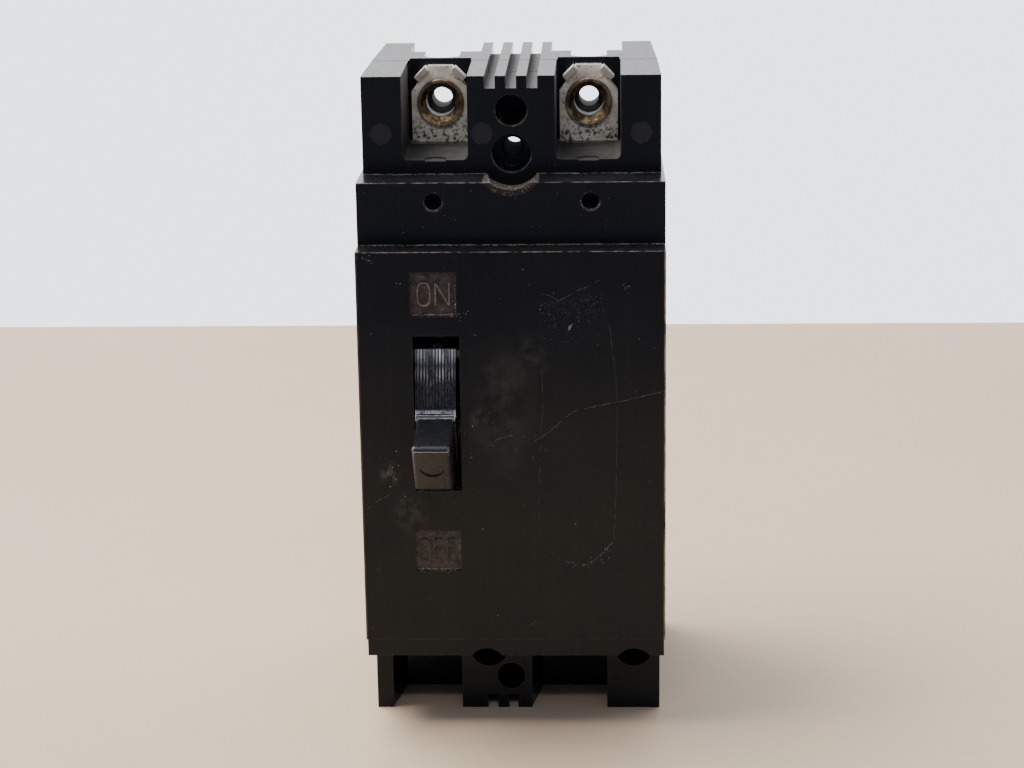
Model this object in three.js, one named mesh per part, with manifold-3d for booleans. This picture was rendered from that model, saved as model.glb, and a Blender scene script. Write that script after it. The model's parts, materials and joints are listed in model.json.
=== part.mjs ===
// Two-pole molded case breaker standing on its load end: molded base and cover, toggle mechanism
// in the left pole, contacts, arc chutes and a thermal-magnetic trip unit in both.
// Millimetres. +X right, +Z up (towards the line end), the operating face looks along -Y.
// While it is drawn, Y = 0 is the back (mounting) face; the whole group is then centred in Y.
import * as THREE from "three";
import Module from "manifold-3d";
import { mergeVertices } from "three/addons/utils/BufferGeometryUtils.js";

const wasm = await Module();
wasm.setup();

// ---------------------------------------------------------------- driving dimensions: case
const GAP = 0.3;
const POLE_X = { left: -12.7, right: 12.7 };
const POLES = Object.keys(POLE_X);

// Front planes of the stepped case, from the feet up to the line terminals.
const FRONT_Y = -50;
const LIP_Y = -49.66;
const BAND_Y = -44.75;
const FOOT_Y = -41.48;
const TERMINAL_Y = -37.44;
const PARTING_Y = -20.5;

const FOOT_TOP = 13;
const LIP_TOP = 16;
const FACE_TOP = 83.54;
const BAND_TOP = 93.96;
const TOP = 110.31;

// Half widths of each step at its front, at the parting line and at the back.
const FACE_HALVES = [25.4, 25.1, 24.4];
const LIP_HALVES = [25.18, 24.9, 24.2];
const TERMINAL_HALVES = [24.81, 24.4, 23.6];
const FOOT_HALVES = [24.57, 24.25, 23.6];

const CHAMBER = { inner: 1.1, outer: 23, floor: 18.6, top: 86.8, back: -2.8, front: -47.3 };
const STEP_FRONT = { z: 81, y: -42 };
const CROSSBAR_WAY_R = 3.6;
const TRIP_BAR_WAY_R = 2.7;

const SLOT = { x0: -16.3, x1: -8.6, z0: 42.63, z1: 69.36 };
const LEGEND = { x0: -16.55, x1: -8.92, depth: 0.55, onZ: [72.68, 80.13], offZ: [28.36, 35.53] };

const POCKET = { half: 5.45, floor: 96.3, corner: 0.95 };
const POCKET_MARK = { r: 1.95, y: -36.5, depth: 0.2 };
const RIB_SLOTS = { pitch: 3.5, width: 1.8, floor: 108.25 };
const NOTCH = { inner: 6.1, outer: 18.47, front: -10.4, floor: 94.6 };
const SCOOP = { half: 3.1, shoulderY: -16, crestY: -18.6, depth: 2.5 };
const WALL_HOLE = { r: 1.75, reliefR: 2.6, reliefEnd: -15.6 };
const MOUNT_HOLE = { z: 97.46, headR: 3.23, seatY: -31.5, boreR: 1.6, boreEnd: -19 };
const MOUNT_RECESS = { half: 2.6, z0: 91.5, z1: 100 };
const UPPER_HOLE = { z: 104.62, r: 2.6, end: -24 };
const SCALLOP = { rFront: 4.8, rBack: 5.5 };
const BAND_HOLE = { xs: [-12.73, 13.1], z: 90.8, r: 1.4, depth: 5 };
const PIN_MARK = { xs: [-21.65, -4.94, 21.53], z: 100.75, r: 1.78, depth: 0.1 };

const LOAD_X = { left: -4.95, right: 20.1 };
const LOAD_SCREW_Z = 11.05;
const LOAD_ACCESS_R = 3.25;
const TERMINAL_CAVITY = { half: 3.4, front: -20.8, back: -9, floor: 5, top: 15.8 };
const WIRE_WAY = { half: 3, front: -16.2, back: -11 };
const FOOT_POCKETS = [[-21.77, -9.74], [2.45, 15.5]];
const FOOT_POCKET = { back: -31.3, top: 17, slant: 1.7 };
const PILLAR_HOLE = { x: -1.17, z: 5.93, r: 2.38, end: -25 };
const PILLAR_NOTCHES = { spans: [[-5.25, -3.53], [-1.63, -0.03]], top: 2.43, depth: 4 };

const CASE_SCREWS = [[-21.2, 90.4], [21.2, 90.4], [-19.2, 8.5], [6.2, 8.5]];
const CASE_SCREW = { headR: 2.6, headDepth: 2.4, r: 1.5, end: -29, driveHalf: 2, driveWidth: 0.8 };

// ---------------------------------------------------------------- driving dimensions: line terminals
const STRAP = { half: 5, front: -20.3, back: -18.1, top: 109.3, foot: 73.5 };
const STRAP_CORNER = { shoulderX: 3.5, shoulderZ: 107, topX: 2.15, sideZ: 104.9 };
const EAR = { innerX: 2.3, innerZ: 109, outerX: 4.1, outerZ: 107.2, half: 0.42, forward: 1.2 };
const BUSH = { z: 103.2, flangeR: 4, shankR: 3.2, boreR: 2.5, rim: 0.9, rimInner: 3.45 };
const CONTACT_R = 2.6;

// ---------------------------------------------------------------- driving dimensions: mechanism, [y, z]
const HANDLE_PIVOT = [-27, 56];
const DRUM_R = 22.5;
const CROSSBAR = [-14, 46];
const ARM_OPEN = 20;
const CONTACT_CLOSED = [-24.4, 77];
const CRADLE_PIVOT = [-40, 64];
const UPPER_PIVOT = [-34, 58];
const LOWER_PIVOT_CLOSED = [-16, 54.8];
const UPPER_LINK_LENGTH = 9.5;
const LOWER_LINK_LENGTH = 9;
const TRIP_PIVOT = [-26, 31];
const CRADLE_TIP = [-35, 33.8];
const ARMATURE_PIVOT = [-17.6, 30];

// Distances in X from the middle of the left pole, where the toggle mechanism is.
const MECH_X = POLE_X.left;
const FRAME_X = [5.1, 6.3];
const YOKE_X = [6.7, 8];
const SPRING_X = 4;
const CRADLE_HALF = 0.8;
const UPPER_LINK_X = [1.2, 2.4];
const LOWER_LINK_X = [-2.9, -1.9];
const PIN_R = 0.9;
const KNEE_CLEARANCE = 0.7;

const LEVER_X = -12.75;
const LEVER_ANGLE = -15;
const LEVER_TIP_Y = -63;
const LEVER_HALF = { root: 3.26, tip: 3.08 };
const LEVER_ROUND = 0.55;
const THUMB_FACE = [[LEVER_TIP_Y, 53.5], [-57.5, 45.8]];
const LEVER_DIMPLE = { r: 2, depth: 0.25 };
const BRIDGE_R = [17, 18.4];
const BRIDGE_SPREAD = 8;
const SHIELD = { from: -53, to: 27.5, inner: 20.3, half: 3.35 };
const RIBS = { count: 12, pitch: 0.515, depth: 0.35, from: 1 };

const ARM_HALF = 1.6;
const CROSSBAR_HALF = 21.8;
const PLATE_YS = [-26.5, -31, -35.5, -40];
const PLATE = { half: 8.4, z0: 70, z1: 85.4, thickness: 1.2, slotHalf: 4.2, slotTop: 82.6 };
const CHUTE_WALL = 0.9;

// ---------------------------------------------------------------- driving dimensions: trip unit
const BIMETAL = { half: 2.8, front: -12.3, back: -11.1, z0: 19, z1: 38.5 };
const CALIBRATION_Z = 36.2;
const LATCH_BITE = 0.4;
const LATCH_FREE_TRAVEL = 1.2;
const TRIP_SPRING = { x: -21, y: -30, z0: 18.9, z1: 29.9 };
const LOAD_STRAP = { half: 3, front: -10.8, back: -9.3, top: 27, footZ: [6.5, 15.5], holeR: 1.9 };

// ---------------------------------------------------------------- materials
function finish(color, roughness, metalness) {
  return new THREE.MeshStandardMaterial({ color, roughness, metalness });
}

const BLACK_MOLDING = finish(0x1e1c1d, 0.42, 0);
const LEVER_MOLDING = finish(0x38363a, 0.4, 0);
const TINNED_COPPER = finish(0x958b73, 0.45, 0.85);
const BRASS = finish(0xb08a45, 0.4, 0.9);
const STEEL = finish(0x9a9a98, 0.4, 0.9);
const COPPER = finish(0xb5693d, 0.4, 0.9);
const SILVER = finish(0xc9c8c2, 0.3, 0.95);
const FIBRE = finish(0x7a3b2a, 0.8, 0);
const BAKELITE = finish(0x3a2a22, 0.5, 0);
const SPRING_STEEL = finish(0x6f7174, 0.35, 0.95);

// ---------------------------------------------------------------- solids
function toSolid(geometry) {
  const bare = geometry.index ? geometry.clone() : geometry;
  bare.deleteAttribute("normal");
  bare.deleteAttribute("uv");
  const merged = mergeVertices(bare, 1e-5);
  const vertProperties = new Float32Array(merged.attributes.position.array);
  const triVerts = new Uint32Array(merged.index.array);
  return new wasm.Manifold(new wasm.Mesh({ numProp: 3, vertProperties, triVerts }));
}

function toGeometry(solid) {
  const mesh = solid.getMesh();
  const geometry = new THREE.BufferGeometry();
  geometry.setAttribute("position", new THREE.BufferAttribute(new Float32Array(mesh.vertProperties), 3));
  geometry.setIndex(new THREE.BufferAttribute(new Uint32Array(mesh.triVerts), 1));
  geometry.computeVertexNormals();
  return geometry;
}

const join = (...solids) => solids.reduce((whole, part) => whole.add(part));
const cut = (solid, ...tools) => tools.reduce((rest, tool) => rest.subtract(tool), solid);

function box(x0, x1, y0, y1, z0, z1) {
  const geometry = new THREE.BoxGeometry(Math.abs(x1 - x0), Math.abs(y1 - y0), Math.abs(z1 - z0));
  geometry.translate((x0 + x1) / 2, (y0 + y1) / 2, (z0 + z1) / 2);
  return toSolid(geometry);
}

function outlineOf(points) {
  const shape = new THREE.Shape();
  points.forEach(([u, v], i) => (i ? shape.lineTo(u, v) : shape.moveTo(u, v)));
  shape.closePath();
  return shape;
}

const asShape = (outline) => (outline instanceof THREE.Shape ? outline : outlineOf(outline));

function extrude(outline, depth, curveSegments) {
  return new THREE.ExtrudeGeometry(asShape(outline), { depth, bevelEnabled: false, curveSegments });
}

// Lays an extruded profile drawn in (y, z) along X.
const PROFILE_TO_X = new THREE.Matrix4().makeBasis(
  new THREE.Vector3(0, 1, 0),
  new THREE.Vector3(0, 0, 1),
  new THREE.Vector3(1, 0, 0),
);

// Outline in (y, z), swept from x0 to x1.
function prismX(outline, x0, x1, curveSegments = 12) {
  const geometry = extrude(outline, x1 - x0, curveSegments);
  geometry.applyMatrix4(PROFILE_TO_X);
  geometry.translate(x0, 0, 0);
  return toSolid(geometry);
}

// Outline in (x, z), swept from yFront (more negative) to yBack.
function prismY(outline, yFront, yBack, curveSegments = 12) {
  const geometry = extrude(outline, yBack - yFront, curveSegments);
  const xAxis = new THREE.Vector3(1, 0, 0);
  const zAxis = new THREE.Vector3(0, 0, 1);
  const towardsFront = new THREE.Vector3(0, -1, 0);
  geometry.applyMatrix4(new THREE.Matrix4().makeBasis(xAxis, zAxis, towardsFront).setPosition(0, yBack, 0));
  return toSolid(geometry);
}

// Outline in (x, y), swept from z0 to z1.
function prismZ(outline, z0, z1, curveSegments = 12) {
  const geometry = extrude(outline, z1 - z0, curveSegments);
  geometry.translate(0, 0, z0);
  return toSolid(geometry);
}

function rodX([y, z], r, x0, x1, segments = 20) {
  const geometry = new THREE.CylinderGeometry(r, r, x1 - x0, segments);
  geometry.rotateZ(Math.PI / 2);
  geometry.translate((x0 + x1) / 2, y, z);
  return toSolid(geometry);
}

function rodY(x, z, r, yFront, yBack, segments = 24) {
  const geometry = new THREE.CylinderGeometry(r, r, yBack - yFront, segments);
  geometry.translate(x, (yFront + yBack) / 2, z);
  return toSolid(geometry);
}

function rodZ(x, y, r, z0, z1, segments = 24) {
  const geometry = new THREE.CylinderGeometry(r, r, z1 - z0, segments);
  geometry.rotateX(Math.PI / 2);
  geometry.translate(x, y, (z0 + z1) / 2);
  return toSolid(geometry);
}

function coneY(x, z, rFront, rBack, yFront, yBack, segments = 24) {
  const geometry = new THREE.CylinderGeometry(rBack, rFront, yBack - yFront, segments);
  geometry.translate(x, (yFront + yBack) / 2, z);
  return toSolid(geometry);
}

// A plate in the (y, z) plane that runs through the given centres as rounded strips.
function linkPlate(centres, r, x0, x1, segments = 16) {
  const strips = centres.slice(1).map((end, i) => strip(centres[i], end, r, x0, x1, segments));
  return join(...strips);
}

function strip([ya, za], [yb, zb], r, x0, x1, segments) {
  const length = Math.hypot(yb - ya, zb - za);
  const [ny, nz] = [(-(zb - za) / length) * r, ((yb - ya) / length) * r];
  const flat = [[ya - ny, za - nz], [yb - ny, zb - nz], [yb + ny, zb + nz], [ya + ny, za + nz]];
  const ends = [[ya, za], [yb, zb]].map((centre) => rodX(centre, r, x0, x1, segments));
  return join(prismX(flat, x0, x1), ...ends);
}

function helix(axisStart, axisEnd, coilR, wireR, turns) {
  const start = new THREE.Vector3(...axisStart);
  const along = new THREE.Vector3(...axisEnd).sub(start);
  const length = along.length();
  const turnTo = new THREE.Quaternion().setFromUnitVectors(new THREE.Vector3(0, 0, 1), along.normalize());
  const steps = turns * 7;
  const points = [];
  for (let i = 0; i <= steps; i += 1) {
    const angle = (2 * Math.PI * i) / 7;
    const rise = wireR + ((length - 2 * wireR) * i) / steps;
    const local = new THREE.Vector3(coilR * Math.cos(angle), coilR * Math.sin(angle), rise);
    points.push(local.applyQuaternion(turnTo).add(start));
  }
  return wireAlong(points, wireR, steps, 4);
}

function wireAlong(points, r, steps, sides) {
  const section = new THREE.Shape();
  section.absarc(0, 0, r, 0, 2 * Math.PI, false);
  const path = new THREE.CatmullRomCurve3(points);
  const options = { steps, extrudePath: path, curveSegments: Math.ceil(sides / 2), bevelEnabled: false };
  return toSolid(new THREE.ExtrudeGeometry(section, options));
}

// Turns a [y, z] point about a [y, z] centre; positive degrees carry +z towards -y.
function swing([y, z], [cy, cz], degrees) {
  const a = THREE.MathUtils.degToRad(degrees);
  const [dy, dz] = [y - cy, z - cz];
  return [cy + dy * Math.cos(a) - dz * Math.sin(a), cz + dy * Math.sin(a) + dz * Math.cos(a)];
}

// Point at a radius from a centre, at an angle above the -Y direction.
function polar([cy, cz], r, degrees) {
  const a = THREE.MathUtils.degToRad(degrees);
  return [cy - r * Math.cos(a), cz + r * Math.sin(a)];
}

function arcPoints(centre, r, from, to, count) {
  return Array.from({ length: count + 1 }, (_, i) => polar(centre, r, from + ((to - from) * i) / count));
}

// Knee of the toggle: the lower of the two points at the link lengths from both pivots.
function kneeBetween([ay, az], ra, [by, bz], rb) {
  const [dy, dz] = [by - ay, bz - az];
  const span = Math.hypot(dy, dz);
  const along = (ra * ra - rb * rb + span * span) / (2 * span);
  const off = Math.sqrt(ra * ra - along * along);
  return [ay + (dy * along + dz * off) / span, az + (dz * along - dy * off) / span];
}

const LOWER_PIVOT = swing(LOWER_PIVOT_CLOSED, CROSSBAR, ARM_OPEN);
const KNEE = kneeBetween(UPPER_PIVOT, UPPER_LINK_LENGTH, LOWER_PIVOT, LOWER_LINK_LENGTH);
const CONTACT_OPEN = swing(CONTACT_CLOSED, CROSSBAR, ARM_OPEN);

const breaker = new THREE.Group();

function add(name, solid, material) {
  const mesh = new THREE.Mesh(toGeometry(solid), material);
  mesh.name = name;
  breaker.add(mesh);
}

// ---------------------------------------------------------------- case
// Footprint in (x, y): straight front half, back half drafted inwards.
function footprint([frontHalf, partingHalf, backHalf], frontY) {
  const right = [[frontHalf, frontY], [partingHalf, PARTING_Y], [backHalf, 0]];
  const left = right.map(([x, y]) => [-x, y]).reverse();
  return outlineOf([...right, ...left]);
}

// Each step reaches a little into the one above it, so that they join into one body.
function caseBlank() {
  const bite = 0.01;
  const feet = prismZ(footprint(FOOT_HALVES, FOOT_Y), 0, FOOT_TOP + bite);
  const lip = prismZ(footprint(LIP_HALVES, LIP_Y), FOOT_TOP, LIP_TOP + bite);
  const face = prismZ(footprint(FACE_HALVES, FRONT_Y), LIP_TOP, FACE_TOP + bite);
  const band = prismZ(footprint(FACE_HALVES, BAND_Y), FACE_TOP, BAND_TOP + bite);
  const terminals = prismZ(footprint(TERMINAL_HALVES, TERMINAL_Y), BAND_TOP, TOP);
  return join(feet, lip, face, band, terminals);
}

const mirrored = (pole, a, b) => (pole === "left" ? [-b, -a] : [a, b]);

function chamber(pole) {
  const [x0, x1] = mirrored(pole, CHAMBER.inner, CHAMBER.outer);
  const low = box(x0, x1, CHAMBER.front, CHAMBER.back, CHAMBER.floor, STEP_FRONT.z);
  const high = box(x0, x1, STEP_FRONT.y, CHAMBER.back, STEP_FRONT.z - 1, CHAMBER.top);
  return join(low, high);
}

function linePocket(pole) {
  const x = POLE_X[pole];
  const { half, floor, corner } = POCKET;
  const shape = new THREE.Shape();
  shape.moveTo(x - half, TOP + 1);
  shape.lineTo(x - half, floor + corner);
  shape.absarc(x - half + corner, floor + corner, corner, Math.PI, 1.5 * Math.PI, false);
  shape.lineTo(x + half - corner, floor);
  shape.absarc(x + half - corner, floor + corner, corner, 1.5 * Math.PI, 2 * Math.PI, false);
  shape.lineTo(x + half, TOP + 1);
  shape.closePath();
  const space = prismY(shape, TERMINAL_Y - 2, PARTING_Y + 0.5, 4);
  return join(space, rodZ(x, POCKET_MARK.y, POCKET_MARK.r, floor - POCKET_MARK.depth, floor + 1));
}

function ribSlots(yFront, yBack) {
  const slots = [-1, 0, 1].map((i) => {
    const x = i * RIB_SLOTS.pitch;
    return box(x - RIB_SLOTS.width / 2, x + RIB_SLOTS.width / 2, yFront, yBack, RIB_SLOTS.floor, TOP + 1);
  });
  return join(...slots);
}

function footPocket([x0, x1]) {
  const { back, top, slant } = FOOT_POCKET;
  const open = box(x0, x1, FOOT_Y - 1, FOOT_Y + 1, -1, FOOT_TOP);
  const plan = [[x0, FOOT_Y + 0.9], [x1, FOOT_Y + 0.9], [x1, back], [x0 + slant, back]];
  return join(open, prismZ(plan, -1, top));
}

function terminalSpace(pole) {
  const x = LOAD_X[pole];
  const { half, front, back, floor, top } = TERMINAL_CAVITY;
  const cavity = box(x - half, x + half, front, back, floor, top);
  const wireWay = box(x - WIRE_WAY.half, x + WIRE_WAY.half, WIRE_WAY.front, WIRE_WAY.back, -1, floor + 1);
  return join(cavity, wireWay);
}

// Notches where the crossbar and the trip bar pass through the wall between the poles.
function barWays() {
  const crossbar = rodX(CROSSBAR, CROSSBAR_WAY_R, -2, 2);
  const tripBar = rodX(TRIP_PIVOT, TRIP_BAR_WAY_R, -2, 2);
  return join(crossbar, tripBar);
}

function screwWays() {
  const ways = CASE_SCREWS.map(([x, z]) => {
    const shank = rodY(x, z, CASE_SCREW.r + GAP, CASE_SCREW.end - 0.5, 1, 16);
    return join(shank, rodY(x, z, CASE_SCREW.headR + GAP, -CASE_SCREW.headDepth - GAP, 1, 20));
  });
  return join(...ways);
}

function lineEndHoles() {
  const { z, headR, seatY, boreR } = MOUNT_HOLE;
  return join(
    rodY(0, z, headR, TERMINAL_Y - 1, seatY, 32),
    rodY(0, z, boreR, seatY - 1, PARTING_Y + 1),
    rodY(0, UPPER_HOLE.z, UPPER_HOLE.r, TERMINAL_Y - 1, UPPER_HOLE.end, 28),
    coneY(0, z, SCALLOP.rFront, SCALLOP.rBack, BAND_Y, TERMINAL_Y, 40),
  );
}

function bandHole(x) {
  return rodY(x, BAND_HOLE.z, BAND_HOLE.r, BAND_Y - 1, BAND_Y + BAND_HOLE.depth);
}

function pinMark(x) {
  return rodY(x, PIN_MARK.z, PIN_MARK.r, TERMINAL_Y - 1, TERMINAL_Y + PIN_MARK.depth);
}

function legendRecess([low, high]) {
  return box(LEGEND.x0, LEGEND.x1, FRONT_Y - 1, FRONT_Y + LEGEND.depth, low, high);
}

function loadScrewAccess(pole) {
  return rodY(LOAD_X[pole], LOAD_SCREW_Z, LOAD_ACCESS_R, FRONT_Y - 1, PARTING_Y + 1, 32);
}

function pillarNotch([a, b]) {
  return box(a, b, FOOT_Y - 1, FOOT_Y + PILLAR_NOTCHES.depth, -1, PILLAR_NOTCHES.top);
}

function makeCover() {
  const frontHalf = box(-40, 40, -70, PARTING_Y - GAP / 2, -10, TOP + 10);
  const { x0, x1, z0, z1 } = SLOT;
  return cut(
    caseBlank().intersect(frontHalf),
    ...POLES.map(chamber),
    ...POLES.map(linePocket),
    barWays(),
    screwWays(),
    ribSlots(TERMINAL_Y - 1, PARTING_Y + 1),
    box(x0, x1, FRONT_Y - 1, CHAMBER.front + 1, z0, z1),
    legendRecess(LEGEND.onZ),
    legendRecess(LEGEND.offZ),
    lineEndHoles(),
    ...BAND_HOLE.xs.map(bandHole),
    ...PIN_MARK.xs.map(pinMark),
    ...FOOT_POCKETS.map(footPocket),
    ...POLES.map(terminalSpace),
    ...POLES.map(loadScrewAccess),
    rodY(PILLAR_HOLE.x, PILLAR_HOLE.z, PILLAR_HOLE.r, FOOT_Y - 1, PILLAR_HOLE.end),
    ...PILLAR_NOTCHES.spans.map(pillarNotch),
  );
}

function strapGroove(pole) {
  const x = POLE_X[pole];
  const wide = STRAP.half + GAP;
  return box(x - wide, x + wide, PARTING_Y - 1, STRAP.back + GAP, CHAMBER.top - 1, TOP + 1);
}

function rearNotch(pole) {
  const [x0, x1] = mirrored(pole, NOTCH.inner, NOTCH.outer);
  return box(x0, x1, NOTCH.front, 1, NOTCH.floor, TOP + 1);
}

// Scoop in the top edge of the wall between the strap and the rear notch.
function scoop(pole) {
  const x = POLE_X[pole];
  const { half, shoulderY, crestY, depth } = SCOOP;
  const plan = new THREE.Shape();
  plan.moveTo(x - half, NOTCH.front + 1);
  plan.lineTo(x - half, shoulderY);
  plan.quadraticCurveTo(x, crestY, x + half, shoulderY);
  plan.lineTo(x + half, NOTCH.front + 1);
  plan.closePath();
  return prismZ(plan, TOP - depth, TOP + 1, 8);
}

// Screw hole through the wall behind the strap, wider where the end of the bush enters it.
function wallHole(pole) {
  const x = POLE_X[pole];
  const through = rodY(x, BUSH.z, WALL_HOLE.r, STRAP.back - 1, NOTCH.front + 1);
  const relief = rodY(x, BUSH.z, WALL_HOLE.reliefR, STRAP.back - 1, WALL_HOLE.reliefEnd);
  return join(through, relief, rodY(x, BUSH.z, BUSH.shankR + GAP, STRAP.back - 1, STRAP.back + 0.8));
}

function mountingRecess() {
  const { half, z0, z1 } = MOUNT_RECESS;
  const bore = rodY(0, MOUNT_HOLE.z, MOUNT_HOLE.boreR, PARTING_Y - 1, MOUNT_HOLE.boreEnd);
  return join(bore, box(-half, half, MOUNT_HOLE.boreEnd - 0.01, 1, z0, z1));
}

function loadStrapWay(pole) {
  const x = POLE_X[pole];
  const xl = LOAD_X[pole];
  const wide = LOAD_STRAP.half + GAP;
  const { front, back, footZ, holeR } = LOAD_STRAP;
  const low = footZ[0] - GAP;
  const riser = box(x - wide, x + wide, front - GAP, back + GAP, low, CHAMBER.floor + 1);
  const foot = box(x - wide, xl, front - GAP, back + GAP, low, footZ[1] + GAP);
  const { half, floor, top } = TERMINAL_CAVITY;
  const behind = box(xl - half, xl + half, back - 1, back + GAP, floor, top);
  return join(riser, foot, behind, rodY(xl, LOAD_SCREW_Z, holeR, -10, -6.5, 16));
}

function makeBase() {
  const rearHalf = box(-40, 40, PARTING_Y + GAP / 2, 5, -10, TOP + 10);
  return cut(
    caseBlank().intersect(rearHalf),
    ...POLES.map(chamber),
    barWays(),
    screwWays(),
    ...POLES.map(strapGroove),
    ...POLES.map(rearNotch),
    ...POLES.map(scoop),
    ribSlots(PARTING_Y - 1, 1),
    ...POLES.map(wallHole),
    mountingRecess(),
    ...POLES.map(terminalSpace),
    ...POLES.map(loadStrapWay),
  );
}

function makeCaseScrew([x, z]) {
  const { headR, headDepth, r, end, driveHalf, driveWidth } = CASE_SCREW;
  const head = rodY(x, z, headR, -headDepth, -0.4, 20);
  const drive = box(x - driveHalf, x + driveHalf, -1.2, 0, z - driveWidth / 2, z + driveWidth / 2);
  return cut(join(head, rodY(x, z, r, end, -headDepth + 0.01, 12)), drive);
}

// ---------------------------------------------------------------- line terminals
function makeLineStrap(pole) {
  const x = POLE_X[pole];
  const { half, front, back, top, foot } = STRAP;
  const { shoulderX, shoulderZ, topX, sideZ } = STRAP_CORNER;
  const pad = [
    [x - half, foot], [x + half, foot], [x + half, sideZ], [x + shoulderX, shoulderZ], [x + topX, top],
    [x - topX, top], [x - shoulderX, shoulderZ], [x - half, sideZ],
  ];
  const ears = [-1, 1].map((side) => cornerEar(x, side));
  return cut(join(prismY(pad, front, back), ...ears), rodY(x, BUSH.z, BUSH.shankR + GAP, -22, -17));
}

// A tab along the chamfered corner of the pad, bent forwards.
function cornerEar(x, side) {
  const { innerX, innerZ, outerX, outerZ, half, forward } = EAR;
  const along = new THREE.Vector2(outerX - innerX, outerZ - innerZ).setLength(half);
  const [dx, dz] = [along.y, along.x];
  const ear = [
    [x + side * (innerX - dx), innerZ + dz], [x + side * (outerX - dx), outerZ + dz],
    [x + side * (outerX + dx), outerZ - dz], [x + side * (innerX + dx), innerZ - dz],
  ];
  return prismY(side > 0 ? ear.reverse() : ear, STRAP.front - forward, STRAP.back - 0.5);
}

// Flanged bush with a countersunk mouth inside a flat rim.
function makeBush(pole) {
  const { z, flangeR, shankR, boreR, rim, rimInner } = BUSH;
  const seat = STRAP.front - GAP;
  const end = STRAP.back + 0.5;
  const profile = [
    [boreR, seat + 0.4], [rimInner, seat - rim], [flangeR - 0.1, seat - rim], [flangeR, seat - rim + 0.2],
    [flangeR, seat], [shankR, seat], [shankR, end], [boreR, end], [boreR, seat + 0.4],
  ];
  const geometry = new THREE.LatheGeometry(profile.map(([r, y]) => new THREE.Vector2(r, y)), 32);
  geometry.translate(POLE_X[pole], 0, z);
  return toSolid(geometry);
}

function makeFixedContact(pole) {
  return rodY(POLE_X[pole], CONTACT_CLOSED[1], CONTACT_R, STRAP.front - GAP - 1.5, STRAP.front - GAP, 20);
}

// ---------------------------------------------------------------- moving contacts
// Built closed, then swung open about the crossbar.
function swungOpen(solid) {
  const [y, z] = CROSSBAR;
  return solid.translate([0, -y, -z]).rotate([ARM_OPEN, 0, 0]).translate([0, y, z]);
}

function makeContactArm(pole) {
  const x = POLE_X[pole];
  const [cy, cz] = CONTACT_CLOSED;
  const outline = [
    [-11.8, 49.2], [-13.6, 56], [-21, 69.5], [cy + 0.2, 73.5], [cy + 0.2, 80], [cy - 2.6, 80.4],
    [cy - 3.6, 73.2], [-25.2, 70], [-18.4, 56.6], [-16.4, 48.6],
  ];
  const arm = prismX(outline, x - ARM_HALF, x + ARM_HALF);
  const eye = rodX(LOWER_PIVOT_CLOSED, 2.3, x - ARM_HALF, x + ARM_HALF, 16);
  const bores = [rodX(CROSSBAR, 3.3, x - 5, x + 5), rodX(LOWER_PIVOT_CLOSED, 1.2, x - 5, x + 5, 12)];
  return swungOpen(cut(join(arm, eye), ...bores));
}

function makeMovingContact(pole) {
  const [cy, cz] = CONTACT_CLOSED;
  return swungOpen(rodY(POLE_X[pole], cz, CONTACT_R, cy + 0.2 + GAP, cy + 0.2 + GAP + 1.3, 20));
}

function makeCrossbar() {
  const shaft = rodX(CROSSBAR, 3, -CROSSBAR_HALF, CROSSBAR_HALF, 16);
  const cheeks = POLES.flatMap((pole) => {
    return [-1, 1].map((side) => {
      const [a, b] = [POLE_X[pole] + side * 2, POLE_X[pole] + side * 4.5].sort((p, q) => p - q);
      return rodX(CROSSBAR, 5.8, a, b, 20);
    });
  });
  return join(shaft, ...cheeks);
}

// ---------------------------------------------------------------- toggle mechanism, left pole
const sideRange = (side, [a, b]) => (side > 0 ? [MECH_X + a, MECH_X + b] : [MECH_X - b, MECH_X - a]);

function makeFramePlate(side) {
  const [x0, x1] = sideRange(side, FRAME_X);
  const outline = [
    [-3.1, 40.5], [-3.1, 52], [-16, 60.5], [-30, 67.5], [-40, 66.6], [-42.3, 62], [-42.8, 57], [-41, 50],
    [-37, 45], [-31, 40.5],
  ];
  const holes = [
    rodX(CROSSBAR, CROSSBAR_WAY_R, x0 - 1, x1 + 1), rodX(CRADLE_PIVOT, 1.7, x0 - 1, x1 + 1),
    rodX(HANDLE_PIVOT, 1.5, x0 - 1, x1 + 1),
  ];
  return cut(join(prismX(outline, x0, x1), rodX(CRADLE_PIVOT, 2.6, x0, x1)), ...holes);
}

function makeHandlePivot(side) {
  const stub = rodX(HANDLE_PIVOT, 1.2, ...sideRange(side, [5, 8.6]), 16);
  return join(stub, rodX(HANDLE_PIVOT, 2, ...sideRange(side, [8.4, 9.2]), 16));
}

// Steel yoke: two legs outside the frame plates, joined by a bridge under the lever.
function makeYoke() {
  const legs = [-1, 1].map((side) => {
    const [x0, x1] = sideRange(side, YOKE_X);
    const end = polar(HANDLE_PIVOT, BRIDGE_R[0] - 1, LEVER_ANGLE);
    return cut(linkPlate([HANDLE_PIVOT, end], 2.6, x0, x1), rodX(HANDLE_PIVOT, 1.5, x0 - 1, x1 + 1, 16));
  });
  const [r0, r1] = BRIDGE_R;
  const [low, high] = [LEVER_ANGLE - BRIDGE_SPREAD, LEVER_ANGLE + BRIDGE_SPREAD];
  const outline = [[r0, low], [r1, low], [r1, high], [r0, high]].map(([r, at]) => polar(HANDLE_PIVOT, r, at));
  return join(...legs, prismX(outline, MECH_X - YOKE_X[1], MECH_X + YOKE_X[1]));
}

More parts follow.
